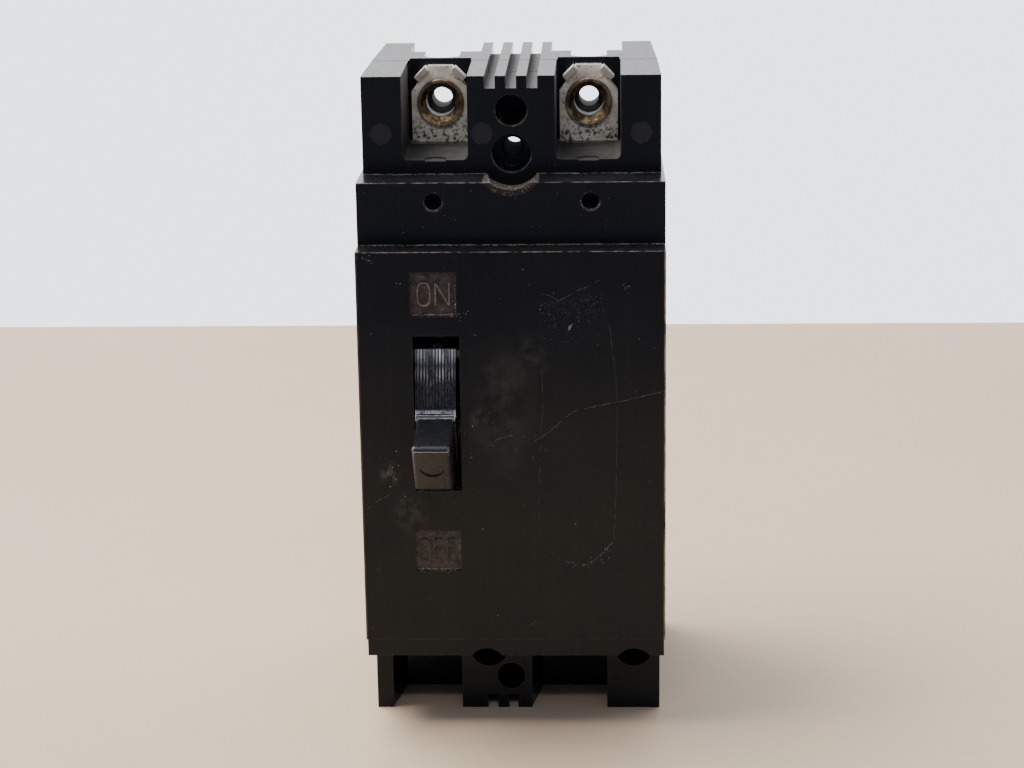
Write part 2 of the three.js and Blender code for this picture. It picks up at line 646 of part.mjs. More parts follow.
// Lever profile in (y, z) at rest: concave upper face with a lip, slanted thumb face, flat underside.
function leverProfile() {
  const shape = new THREE.Shape();
  shape.moveTo(-46, 55.9);
  shape.lineTo(-51, 55.6);
  shape.quadraticCurveTo(-57.5, 52.4, -61.9, 54.35);
  const [upper, lower] = THUMB_FACE;
  shape.quadraticCurveTo(LEVER_TIP_Y, 54.5, ...upper);
  shape.lineTo(...lower);
  shape.quadraticCurveTo(-57.1, 45, -56.2, 44.9);
  shape.quadraticCurveTo(-52.5, 44.6, -49.5, 43.9);
  shape.lineTo(-46, 43.9);
  shape.closePath();
  return shape;
}

// Two fine steps where the upper face of the lever meets the drum.
function leverRoot() {
  const outline = [
    [-46, 56.7], [-49.9, 56.7], [-50.2, 56.4], [-50.2, 56.2],
    [-50.9, 56.1], [-51.1, 55.7], [-51, 54], [-46, 54],
  ];
  return prismX(outline, LEVER_X - LEVER_HALF.root, LEVER_X + LEVER_HALF.root);
}

// The lever narrows towards its tip, and its long edges are rounded.
function makeLever() {
  const geometry = new THREE.ExtrudeGeometry(leverProfile(), {
    depth: 2 * (LEVER_HALF.root - LEVER_ROUND),
    curveSegments: 7,
    bevelThickness: LEVER_ROUND,
    bevelSize: LEVER_ROUND,
    bevelOffset: -LEVER_ROUND,
    bevelSegments: 3,
  });
  geometry.applyMatrix4(PROFILE_TO_X);
  geometry.translate(LEVER_ROUND - LEVER_HALF.root, 0, 0);
  const places = geometry.attributes.position;
  const narrowing = (1 - LEVER_HALF.tip / LEVER_HALF.root) / (FRONT_Y - LEVER_TIP_Y);
  for (let i = 0; i < places.count; i += 1) {
    const proud = Math.max(0, FRONT_Y - places.getY(i));
    places.setX(i, LEVER_X + places.getX(i) * (1 - narrowing * proud));
  }
  return cut(toSolid(geometry), leverDimple());
}

// Shallow round dimple in the thumb face.
function leverDimple() {
  const [[upperY, upperZ], [lowerY, lowerZ]] = THUMB_FACE;
  const { r, depth } = LEVER_DIMPLE;
  const geometry = new THREE.CylinderGeometry(r, r, 2 * depth, 28);
  geometry.rotateX(Math.atan2(lowerY - upperY, upperZ - lowerZ));
  geometry.translate(LEVER_X, (upperY + lowerY) / 2, (upperZ + lowerZ) / 2);
  return toSolid(geometry);
}

function drumGroove(i) {
  const x = LEVER_X + (i - RIBS.count / 2) * RIBS.pitch;
  const end = SHIELD.to + 2;
  const ring = [
    ...arcPoints(HANDLE_PIVOT, DRUM_R + 1, RIBS.from, end, 10),
    ...arcPoints(HANDLE_PIVOT, DRUM_R - RIBS.depth, end, RIBS.from, 10),
  ];
  return prismX(ring, x - RIBS.pitch / 4, x + RIBS.pitch / 4);
}

function makeHandle() {
  const { from, to, inner, half } = SHIELD;
  const outer = arcPoints(HANDLE_PIVOT, DRUM_R, from, to, 28);
  const back = arcPoints(HANDLE_PIVOT, inner, to, from, 20);
  const shield = prismX([...outer, ...back], LEVER_X - half, LEVER_X + half);
  const [near, far] = [BRIDGE_R[1] + GAP, inner + 0.5];
  const corners = [[near, -25], [far, -25], [far, -5], [near, -5]];
  const seat = prismX(corners.map(([r, at]) => polar(HANDLE_PIVOT, r, at)), LEVER_X - half, LEVER_X + half);
  const grooves = Array.from({ length: RIBS.count + 1 }, (_, i) => drumGroove(i));
  return cut(join(shield, makeLever(), leverRoot(), seat), ...grooves);
}

function makeCradle() {
  const [tipY, tipZ] = CRADLE_TIP;
  const [x0, x1] = [MECH_X - CRADLE_HALF, MECH_X + CRADLE_HALF];
  const head = linkPlate([CRADLE_PIVOT, UPPER_PIVOT], 2.8, x0, x1);
  const body = join(head, linkPlate([UPPER_PIVOT, [-34.4, 48], [tipY + 0.6, tipZ + 1.6]], 1.9, x0, x1));
  const trim = box(MECH_X - 2, MECH_X + 2, tipY - 6, tipY + 6, tipZ - 6, tipZ);
  const face = box(MECH_X - 2, MECH_X + 2, tipY - 6, tipY - 1, tipZ - 6, tipZ + 3.5);
  const pivotHole = rodX(CRADLE_PIVOT, 1.7, MECH_X - 2, MECH_X + 2);
  const linkHole = rodX(UPPER_PIVOT, 1.85, MECH_X - 2, MECH_X + 2);
  return cut(body, trim, face, pivotHole, linkHole);
}

function makeUpperLink() {
  const [x0, x1] = UPPER_LINK_X.map((x) => MECH_X + x);
  const plate = linkPlate([UPPER_PIVOT, KNEE], 2.1, x0, x1);
  const stub = rodX(UPPER_PIVOT, PIN_R, MECH_X - 1.1, x0 + 0.1, 12);
  return cut(join(plate, stub), rodX(KNEE, PIN_R + GAP, x0 - 1, x1 + 1, 12));
}

function makeLowerLink() {
  const [x0, x1] = LOWER_LINK_X.map((x) => MECH_X + x);
  const plate = linkPlate([KNEE, LOWER_PIVOT], 2.5, x0, x1);
  const stub = rodX(LOWER_PIVOT, PIN_R, x1 - 0.1, MECH_X + 1.3, 12);
  return cut(join(plate, stub), rodX(KNEE, PIN_R + KNEE_CLEARANCE, x0 - 1, x1 + 1, 20));
}

const makeTogglePin = () => rodX(KNEE, PIN_R, MECH_X - 4.7, MECH_X + 4.7, 12);

function makeMainSpring(side) {
  const x = MECH_X + side * SPRING_X;
  const anchor = polar(HANDLE_PIVOT, BRIDGE_R[0] - GAP, LEVER_ANGLE);
  const direction = new THREE.Vector2(anchor[0] - KNEE[0], anchor[1] - KNEE[1]).normalize();
  const start = [x, KNEE[0] + direction.x * (PIN_R + GAP), KNEE[1] + direction.y * (PIN_R + GAP)];
  return helix(start, [x, anchor[0] + 0.2 * Math.abs(direction.x), anchor[1]], 0.7, 0.2, 8);
}

// ---------------------------------------------------------------- arc chutes
function makeArcPlate(pole, y) {
  const x = POLE_X[pole];
  const { half, z0, z1, thickness, slotHalf, slotTop } = PLATE;
  const outline = [
    [x - half, z0], [x - slotHalf, z0], [x - slotHalf, slotTop - 3], [x - 1.6, slotTop], [x + 1.6, slotTop],
    [x + slotHalf, slotTop - 3], [x + slotHalf, z0], [x + half, z0], [x + half, z1], [x - half, z1],
  ];
  return prismY(outline, y - thickness / 2, y + thickness / 2);
}

function makeChuteFrame(pole) {
  const x = POLE_X[pole];
  const inner = PLATE.half + GAP;
  const outer = inner + CHUTE_WALL;
  const outline = [
    [x - outer, PLATE.z0], [x - inner, PLATE.z0], [x - inner, PLATE.z1 + GAP], [x + inner, PLATE.z1 + GAP],
    [x + inner, PLATE.z0], [x + outer, PLATE.z0], [x + outer, PLATE.z1 + 1], [x - outer, PLATE.z1 + 1],
  ];
  return prismY(outline, PLATE_YS[3] - 1, PLATE_YS[0] + 1);
}

// ---------------------------------------------------------------- trip unit
function makeBimetal(pole) {
  const x = POLE_X[pole];
  const { half, front, back, z0, z1 } = BIMETAL;
  return cut(box(x - half, x + half, front, back, z0, z1), rodY(x, CALIBRATION_Z, 1.2, -13, -10, 12));
}

function makeCalibrationScrew(pole) {
  const x = POLE_X[pole];
  const shank = rodY(x, CALIBRATION_Z, 0.9, -18, BIMETAL.back + GAP + 0.1, 12);
  const head = rodY(x, CALIBRATION_Z, 1.7, BIMETAL.back + GAP, BIMETAL.back + GAP + 1, 16);
  return join(shank, head);
}

function makeMagnetYoke(pole) {
  const x = POLE_X[pole];
  const outline = [
    [x - 5.6, -15.4], [x - 4.2, -15.4], [x - 4.2, -8.8], [x + 4.2, -8.8],
    [x + 4.2, -15.4], [x + 5.6, -15.4], [x + 5.6, -7.4], [x - 5.6, -7.4],
  ];
  return prismZ(outline, 21.5, 29);
}

function makeArmature(pole) {
  const x = POLE_X[pole];
  const [y, z] = ARMATURE_PIVOT;
  const plate = box(x - 5.6, x + 5.6, y - 0.7, y + 0.7, z - 9, z + 1);
  const arm = box(x + 3.2, x + 4.8, y - 0.7, y + 0.7, z, z + 7);
  return join(plate, arm);
}

function makeTripBar() {
  const shaft = rodX(TRIP_PIVOT, 2.2, -22.2, 18.4, 20);
  const [y, z] = TRIP_PIVOT;
  const fingers = POLES.map((pole) => {
    const x = POLE_X[pole];
    const web = box(x - 1.5, x + 4.9, y, -18.9, z - 0.8, z + 0.8);
    return join(web, box(x - 1.5, x + 4.9, -20.2, -18.9, z - 0.8, z + 7));
  });
  const springArm = box(-22.2, -19.8, y - 5.6, y, z - 0.8, z + 0.8);
  const latchSeat = box(MECH_X - 3, MECH_X + 3, y - 6, y, z - 1.2, z + 0.6);
  return join(shaft, ...fingers, springArm, latchSeat);
}

// Bent steel plate screwed to the trip bar; its upright edge stands in front of the cradle tip.
function makeLatch() {
  const [y, z] = TRIP_PIVOT;
  const face = CRADLE_TIP[0] - 1 - LATCH_FREE_TRAVEL;
  const bed = box(MECH_X - 2.6, MECH_X + 2.6, face - 1, y - 3, z - 2.7, z - 1.5);
  return join(bed, box(MECH_X - 2.6, MECH_X + 2.6, face - 1, face, z - 2.7, CRADLE_TIP[1] + LATCH_BITE));
}

function makeTripSpring() {
  const { x, y, z0, z1 } = TRIP_SPRING;
  return helix([x, y, z0], [x, y, z1], 1, 0.22, 7);
}

function makeBraid(pole) {
  const x = POLE_X[pole];
  const start = swing([-14.2, 56.6], CROSSBAR, ARM_OPEN);
  const route = [
    [x, start[0] + 0.4, start[1] + 1.6], [x, -12.5, 56.6], [x, -8, 52.5], [x, -6.6, 46],
    [x, -5.6, 40], [x, -5.8, 35.5], [x, -7.4, 32.2], [x, -10.6, 31.4],
  ];
  return wireAlong(route.map((point) => new THREE.Vector3(...point)), 1.1, 18, 6);
}

// ---------------------------------------------------------------- load terminals
function makeLoadStrap(pole) {
  const x = POLE_X[pole];
  const xl = LOAD_X[pole];
  const { half, front, back, top, footZ: [low, high], holeR } = LOAD_STRAP;
  const outline = [
    [x - half, low], [xl + half, low], [xl + half, high], [x + half, high], [x + half, top], [x - half, top],
  ];
  return cut(prismY(outline, front, back), rodY(xl, LOAD_SCREW_Z, holeR, front - 1, back + 1, 16));
}

function makeWireClamp(pole) {
  const x = LOAD_X[pole];
  const plate = box(x - 3, x + 3, -17.6, -16.4, 7.6, 14.8);
  const lips = [-1, 1].map((side) => {
    const [a, b] = [x + side * 3, x + side * 2.2].sort((p, q) => p - q);
    return box(a, b, -16.5, -15.4, 7.6, 14.8);
  });
  return cut(join(plate, ...lips), rodY(x, LOAD_SCREW_Z, 1.9, -19, -14, 16));
}

function makeLoadScrew(pole) {
  const x = LOAD_X[pole];
  const head = rodY(x, LOAD_SCREW_Z, 2.8, -20.2, -17.9, 20);
  const shank = rodY(x, LOAD_SCREW_Z, 1.6, -18, -7, 14);
  const drive = box(x - 3, x + 3, -21, -19.2, LOAD_SCREW_Z - 0.45, LOAD_SCREW_Z + 0.45);
  return cut(join(head, shank), drive);
}

// ---------------------------------------------------------------- assembly
add("base", makeBase(), BLACK_MOLDING);
add("cover", makeCover(), BLACK_MOLDING);
CASE_SCREWS.forEach((place, i) => add(`case_screw_${i + 1}`, makeCaseScrew(place), STEEL));

add("handle", makeHandle(), LEVER_MOLDING);
add("handle_yoke", makeYoke(), STEEL);
add("frame_plate_left", makeFramePlate(-1), STEEL);
add("frame_plate_right", makeFramePlate(1), STEEL);
add("handle_pivot_left", makeHandlePivot(-1), STEEL);
add("handle_pivot_right", makeHandlePivot(1), STEEL);
add("cradle", makeCradle(), STEEL);
add("cradle_pin", rodX(CRADLE_PIVOT, 1.4, MECH_X - 6.6, MECH_X + 6.6, 16), STEEL);
add("upper_link", makeUpperLink(), STEEL);
add("lower_link", makeLowerLink(), STEEL);
add("toggle_pin", makeTogglePin(), STEEL);
add("main_spring_left", makeMainSpring(-1), SPRING_STEEL);
add("main_spring_right", makeMainSpring(1), SPRING_STEEL);
add("crossbar", makeCrossbar(), BAKELITE);
add("trip_bar", makeTripBar(), BAKELITE);
add("latch", makeLatch(), STEEL);
add("trip_spring", makeTripSpring(), SPRING_STEEL);

for (const pole of POLES) {
  add(`line_strap_${pole}`, makeLineStrap(pole), TINNED_COPPER);
  add(`line_bush_${pole}`, makeBush(pole), BRASS);
  add(`fixed_contact_${pole}`, makeFixedContact(pole), SILVER);
  add(`contact_arm_${pole}`, makeContactArm(pole), COPPER);
  add(`moving_contact_${pole}`, makeMovingContact(pole), SILVER);
  add(`chute_frame_${pole}`, makeChuteFrame(pole), FIBRE);
  PLATE_YS.forEach((y, i) => add(`arc_plate_${pole}_${i + 1}`, makeArcPlate(pole, y), STEEL));
  add(`braid_${pole}`, makeBraid(pole), COPPER);
  add(`bimetal_${pole}`, makeBimetal(pole), STEEL);
  add(`calibration_screw_${pole}`, makeCalibrationScrew(pole), BRASS);
  add(`magnet_yoke_${pole}`, makeMagnetYoke(pole), STEEL);
  add(`armature_${pole}`, makeArmature(pole), STEEL);
  add(`load_strap_${pole}`, makeLoadStrap(pole), TINNED_COPPER);
  add(`wire_clamp_${pole}`, makeWireClamp(pole), STEEL);
  add(`load_screw_${pole}`, makeLoadScrew(pole), STEEL);
}

breaker.position.y = -LEVER_TIP_Y / 2;

export default breaker;
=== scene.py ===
"""Looks for the molded case breaker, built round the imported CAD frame. Metres, same frame as the CAD."""

import json
import math
import random

import bpy
from mathutils import Matrix, Vector


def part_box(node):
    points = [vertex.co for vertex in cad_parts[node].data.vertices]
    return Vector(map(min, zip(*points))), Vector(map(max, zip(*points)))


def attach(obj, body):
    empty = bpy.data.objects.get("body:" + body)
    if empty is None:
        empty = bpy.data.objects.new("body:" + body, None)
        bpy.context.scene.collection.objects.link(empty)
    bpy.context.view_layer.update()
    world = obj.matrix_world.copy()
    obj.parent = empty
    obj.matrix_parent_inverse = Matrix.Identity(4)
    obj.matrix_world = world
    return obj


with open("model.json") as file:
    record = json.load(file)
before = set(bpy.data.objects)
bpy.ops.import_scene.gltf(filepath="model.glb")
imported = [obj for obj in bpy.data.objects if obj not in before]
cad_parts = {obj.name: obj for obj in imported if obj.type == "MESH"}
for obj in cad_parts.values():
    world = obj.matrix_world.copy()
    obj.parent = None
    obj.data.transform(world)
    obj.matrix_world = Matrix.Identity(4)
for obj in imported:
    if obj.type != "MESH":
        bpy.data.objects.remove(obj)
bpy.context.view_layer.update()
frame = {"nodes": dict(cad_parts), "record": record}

NODES = frame["nodes"]
MM = 0.001

# Planes of the case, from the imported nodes. The front face is the cover's lowest Y.
COVER_LOW, COVER_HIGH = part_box("cover")
FRONT_Y = COVER_LOW.y
HALF_WIDTH = COVER_HIGH.x
TOP_Z = COVER_HIGH.z
LEGEND_FLOOR_Y = FRONT_Y + 0.55 * MM
TERMINAL_Y = FRONT_Y + 12.56 * MM
BAND_Y = FRONT_Y + 5.25 * MM
FACE_TOP_Z = 83.54 * MM
BAND_TOP_Z = 93.96 * MM
FILM_Z = 102.4 * MM
MOUNT_HOLE_Z = 97.46 * MM
UPPER_HOLE_Z = 104.62 * MM
BAND_HOLE_X = (-12.73, 13.1)
BAND_HOLE_Z = 90.8
NOTCH_Y = FRONT_Y + 39.6 * MM


# ---------------------------------------------------------------- camera, floor and light
CAMERA_PLACE = (0.0166, FRONT_Y - 0.408, 0.1782)
CAMERA_LENS = 90.49
TABLE_EDGE_Y = FRONT_Y + 0.272
MIRRORED_Y = FRONT_Y - 0.207
TABLE_REACH = 1.5
WALL_Y = FRONT_Y + 1.9
WALL_REACH = 10
WALL_Z = (-1, 8.4)


def make_camera():
    """Looks down 16 degrees at the front from a little to the right."""
    pitch, yaw, roll = 0.2791, 0.0406, -0.0148
    camera = bpy.data.cameras.new("camera")
    camera.lens = CAMERA_LENS
    camera.sensor_width = 36
    holder = bpy.data.objects.new("camera", camera)
    cy, sy = math.cos(yaw), math.sin(yaw)
    cp, sp = math.cos(pitch), math.sin(pitch)
    forward = Vector((-sy * cp, cy * cp, -sp))
    level_right = Vector((cy, sy, 0))
    level_up = Vector((-sy * sp, cy * sp, cp))
    right = math.cos(roll) * level_right + math.sin(roll) * level_up
    up = math.cos(roll) * level_up - math.sin(roll) * level_right
    turn = Matrix((right, up, -forward)).transposed().to_4x4()
    holder.matrix_world = Matrix.Translation(CAMERA_PLACE) @ turn
    bpy.context.scene.collection.objects.link(holder)
    bpy.context.scene.camera = holder


def make_light(name, place, target, size, power, color):
    lamp = bpy.data.lights.new(name, "AREA")
    lamp.shape = "RECTANGLE"
    lamp.size, lamp.size_y = size
    lamp.energy = power
    lamp.color = color
    holder = bpy.data.objects.new(name, lamp)
    holder.location = place
    aim = Vector(target) - Vector(place)
    holder.rotation_euler = aim.to_track_quat("-Z", "Y").to_euler()
    bpy.context.scene.collection.objects.link(holder)


def make_stage():
    """A pale tabletop in front of a pale wall far enough back to walk round the object.

    The far front half of the tabletop isn't mirrored in the object.
    """
    floor = tabletop("floor", MIRRORED_Y, TABLE_EDGE_Y)
    apron = tabletop("apron", -TABLE_REACH, MIRRORED_Y)
    low, high = WALL_Z
    corners = [(-WALL_REACH, low), (WALL_REACH, low), (WALL_REACH, high), (-WALL_REACH, high)]
    wall = flat_sheet("backdrop", [(x, WALL_Y, z) for x, z in corners])
    apron.visible_glossy = False
    pale = floor_material()
    floor.data.materials.append(pale)
    apron.data.materials.append(pale)
    wall.data.materials.append(wall_material())
    world = bpy.data.worlds.new("room")
    world.use_nodes = True
    world.node_tree.nodes["Background"].inputs["Color"].default_value = (0.60, 0.68, 1.0, 1)
    world.node_tree.nodes["Background"].inputs["Strength"].default_value = 0.52
    bpy.context.scene.world = world
    make_light("overhead", (-0.34, 0.1, 0.8), (0, 0, 0.03), (0.7, 0.45), 17, (1, 0.985, 0.96))
    make_light("front_strip", (-0.02, -0.62, 0.58), (-0.012, -0.03, 0.06), (0.3, 0.05), 1.1, (0.93, 0.96, 1))


def tabletop(name, near_y, far_y):
    corners = [(-TABLE_REACH, near_y), (TABLE_REACH, near_y), (TABLE_REACH, far_y), (-TABLE_REACH, far_y)]
    return flat_sheet(name, [(x, y, 0) for x, y in corners])


def flat_sheet(name, corners):
    mesh = bpy.data.meshes.new(name)
    mesh.from_pydata(corners, [], [tuple(range(len(corners)))])
    sheet = bpy.data.objects.new(name, mesh)
    bpy.context.scene.collection.objects.link(sheet)
    return sheet


# ---------------------------------------------------------------- shader building blocks
class Shader:
    """A node material with small helpers; every coordinate is in the object's own frame."""

    def __init__(self, name):
        self.material = bpy.data.materials.new(name)
        self.material.use_nodes = True
        self.tree = self.material.node_tree
        self.bsdf = self.tree.nodes["Principled BSDF"]
        self.place = self.add("ShaderNodeTexCoord").outputs["Object"]

    def add(self, kind, **settings):
        node = self.tree.nodes.new(kind)
        for key, value in settings.items():
            setattr(node, key, value)
        return node

    def plug(self, socket, value):
        if isinstance(value, bpy.types.NodeSocket):
            self.tree.links.new(value, socket)
        else:
            socket.default_value = value

    def set(self, name, value):
        self.plug(self.bsdf.inputs[name], value)

    def math(self, operation, a, b=0.0):
        node = self.add("ShaderNodeMath", operation=operation, use_clamp=True)
        self.plug(node.inputs[0], a)
        self.plug(node.inputs[1], b)
        return node.outputs[0]

    def times(self, *factors):
        product = factors[0]
        for factor in factors[1:]:
            product = self.math("MULTIPLY", product, factor)
        return product

    def either(self, *masks):
        strongest = masks[0]
        for mask in masks[1:]:
            strongest = self.math("MAXIMUM", strongest, mask)
        return strongest

    def inverse(self, mask):
        return self.math("SUBTRACT", 1.0, mask)

    def stretch(self, factors):
        node = self.add("ShaderNodeMapping")
        node.inputs["Scale"].default_value = factors
        self.tree.links.new(self.place, node.inputs["Vector"])
        return node.outputs[0]

    def noise(self, scale, detail=4.0, roughness=0.55, place=None):
        node = self.add("ShaderNodeTexNoise")
        self.plug(node.inputs["Vector"], place or self.place)
        self.plug(node.inputs["Scale"], scale)
        self.plug(node.inputs["Detail"], detail)
        self.plug(node.inputs["Roughness"], roughness)
        return node.outputs["Fac"]

    def grain(self, scale, low, high, detail=4.0, place=None):
        """Noise cut to a mask: 0 below low, 1 above high."""
        return self.ramp(self.noise(scale, detail, 0.6, place), (low, 0.0), (high, 1.0))

    def dots(self, scale, radius, share):
        """1 in small round dots: radius is a part of a cell, share the part of the cells that has one."""
        node = self.add("ShaderNodeTexVoronoi")
        self.plug(node.inputs["Vector"], self.place)
        self.plug(node.inputs["Scale"], scale)
        split = self.add("ShaderNodeSeparateColor")
        self.tree.links.new(node.outputs["Color"], split.inputs[0])
        near = self.fade(node.outputs["Distance"], radius, radius * 0.7)
        return self.times(near, self.fade(split.outputs[0], share, share * 0.98))

    def ramp(self, source, *stops):
        """Maps source through (position, grey or colour) stops."""
        node = self.add("ShaderNodeValToRGB")
        elements = node.color_ramp.elements
        while len(elements) < len(stops):
            elements.new(0.5)
        for element, (position, value) in zip(elements, stops):
            element.position = position
            element.color = (*value, 1) if isinstance(value, tuple) else (value, value, value, 1)
        self.plug(node.inputs["Fac"], source)
        return node.outputs["Color"]

    def fade(self, value, start, end):
        """0 at start, 1 at end, held outside them; start may be the larger."""
        node = self.add("ShaderNodeMapRange", clamp=True)
        self.plug(node.inputs["Value"], value)
        node.inputs["From Min"].default_value = start
        node.inputs["From Max"].default_value = end
        return node.outputs[0]

    def mix(self, factor, a, b):
        node = self.add("ShaderNodeMix", data_type="RGBA")
        self.plug(node.inputs[0], factor)
        self.plug(node.inputs[6], (*a, 1) if isinstance(a, tuple) else a)
        self.plug(node.inputs[7], (*b, 1) if isinstance(b, tuple) else b)
        return node.outputs[2]

    def axis(self, name):
        split = self.add("ShaderNodeSeparateXYZ")
        self.tree.links.new(self.place, split.inputs[0])
        return split.outputs[name]

    def distance(self, center, weights=(1, 1, 1)):
        """Metres from center, with each axis counted by its weight."""
        offset = self.add("ShaderNodeVectorMath", operation="SUBTRACT")
        self.tree.links.new(self.place, offset.inputs[0])
        offset.inputs[1].default_value = center
        scaled = self.add("ShaderNodeVectorMath", operation="MULTIPLY")
        self.tree.links.new(offset.outputs[0], scaled.inputs[0])
        scaled.inputs[1].default_value = weights
        length = self.add("ShaderNodeVectorMath", operation="LENGTH")
        self.tree.links.new(scaled.outputs[0], length.inputs[0])
        return length.outputs["Value"]

    def slab(self, axis, low, high, soft=0.1 * MM):
        """1 between two planes across an axis."""
        value = self.axis(axis)
        above = self.fade(value, low - soft, low + soft)
        return self.times(above, self.fade(value, high + soft, high - soft))

    def stripes(self, axis, center, pitch, width):
        """1 on evenly spaced stripes across an axis, one of them at center."""
        offset = self.add("ShaderNodeMath", operation="SUBTRACT")
        self.tree.links.new(self.axis(axis), offset.inputs[0])
        offset.inputs[1].default_value = center
        folded = self.add("ShaderNodeMath", operation="PINGPONG")
        self.tree.links.new(offset.outputs[0], folded.inputs[0])
        folded.inputs[1].default_value = pitch / 2
        return self.fade(folded.outputs[0], width * 0.7, width * 0.4)

    def facing_up(self):
        normal = self.add("ShaderNodeNewGeometry").outputs["Normal"]
        split = self.add("ShaderNodeSeparateXYZ")
        self.tree.links.new(normal, split.inputs[0])
        return self.ramp(split.outputs["Z"], (0.55, 0.0), (0.92, 1.0))

    def worn_edge(self, radius, low=0.01, high=0.12):
        """1 on outer and inner edges narrower than radius, broken up by noise."""
        rounded = self.add("ShaderNodeBevel", samples=6)
        rounded.inputs["Radius"].default_value = radius
        flat = self.add("ShaderNodeNewGeometry").outputs["True Normal"]
        dot = self.add("ShaderNodeVectorMath", operation="DOT_PRODUCT")
        self.tree.links.new(rounded.outputs[0], dot.inputs[0])
        self.tree.links.new(flat, dot.inputs[1])
        away = self.math("SUBTRACT", 1.0, dot.outputs["Value"])
        return self.ramp(away, (low, 0.0), (high, 1.0))

    def hollow(self, distance):
        """1 deep in corners, 0 on open faces."""
        node = self.add("ShaderNodeAmbientOcclusion", samples=8)
        node.inputs["Distance"].default_value = distance
        return self.ramp(node.outputs["AO"], (0.35, 1.0), (0.8, 0.0))

    def bump(self, height, strength, distance):
        node = self.add("ShaderNodeBump")
        self.plug(node.inputs["Height"], height)
        node.inputs["Strength"].default_value = strength
        node.inputs["Distance"].default_value = distance
        self.tree.links.new(node.outputs[0], self.bsdf.inputs["Normal"])


def floor_material():
    shader = Shader("pale_floor")
    mottle = shader.grain(9, 0.3, 0.7, 6)
    fine = shader.grain(260, 0.6, 0.8)
    base = shader.mix(mottle, (0.46, 0.338, 0.222), (0.51, 0.382, 0.258))
    shader.set("Base Color", shader.mix(shader.times(fine, 0.3), base, (0.37, 0.27, 0.175)))
    shader.set("Roughness", 0.6)
    shader.set("Specular IOR Level", 0.25)
    return shader.material


def wall_material():
    """A plain wall that is lit as evenly as a backdrop is."""
    shader = Shader("pale_wall")
    shader.set("Base Color", shader.mix(shader.noise(6), (0.80, 0.815, 0.83), (0.84, 0.85, 0.86)))
    shader.set("Emission Color", (0.965, 0.985, 1, 1))
    shader.set("Emission Strength", 2.4)
    shader.set("Roughness", 0.8)
    return shader.material


make_stage()
make_camera()


# ---------------------------------------------------------------- black case
# The top film's greys: a dust film, painted pale to stand in for part of the grazing sheen of the top faces.
GREY_FILM_AND_SHEEN = (0.178, 0.176, 0.174)
FILM_WORN = (0.128, 0.125, 0.122)
DARK_CORNER_BROWN = (0.105, 0.088, 0.076)
CRUMBS = (0.36, 0.285, 0.21)
LEGEND_X = (-16.55 * MM, -8.92 * MM)
LEGEND_LOW = (72.68 * MM, 28.36 * MM)
LEGEND_HEIGHT = 7.4 * MM
BUSH_BOXES = [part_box("line_bush_left"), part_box("line_bush_right")]
LINE_X = [(low.x + high.x) / 2 for low, high in BUSH_BOXES]
STRAP_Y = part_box("line_strap_left")[0].y
BUSH_Z = (BUSH_BOXES[0][0].z + BUSH_BOXES[0][1].z) / 2
POCKET_HALF = 5.6 * MM
# Holes with a painted highlight on their lower rims: x and z of the middle, radius, Y of the face, width of
# the rim; the lengths are in mm.
LIT_HOLE_RIMS = (
    (0, UPPER_HOLE_Z / MM, 2.6, TERMINAL_Y, 0.28),
    (0, MOUNT_HOLE_Z / MM, 3.23, TERMINAL_Y, 0.28),
    (BAND_HOLE_X[0], BAND_HOLE_Z, 1.4, BAND_Y, 0.45),
    (BAND_HOLE_X[1], BAND_HOLE_Z, 1.4, BAND_Y, 0.45),
)
DRUM_X = (-16.1 * MM, -9.4 * MM)
RIB_TOP_Z = 66.4 * MM
RIB_X, RIB_PITCH, CREST_WIDTH = -12.4925 * MM, 0.515 * MM, 0.18 * MM
TIP_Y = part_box("handle")[0].y
ROOT_Z = (55.2 * MM, 56.6 * MM)
TIP_Z = (52.7 * MM, 54.2 * MM)
PIN_MARKS = [-21.65 * MM, -4.94 * MM, 21.53 * MM]
PIN_MARK_Z = 100.75 * MM
PIN_MARK_R = 1.78 * MM
# Pale rubs on the front face: x, z and reach in mm, strength.
RUBS = ((-20.6, 45.6, 2.4, 0.8), (-5.6, 55, 2.2, 0.5), (-17.5, 38.5, 4.5, 0.35), (3.2, 66, 5, 0.2))


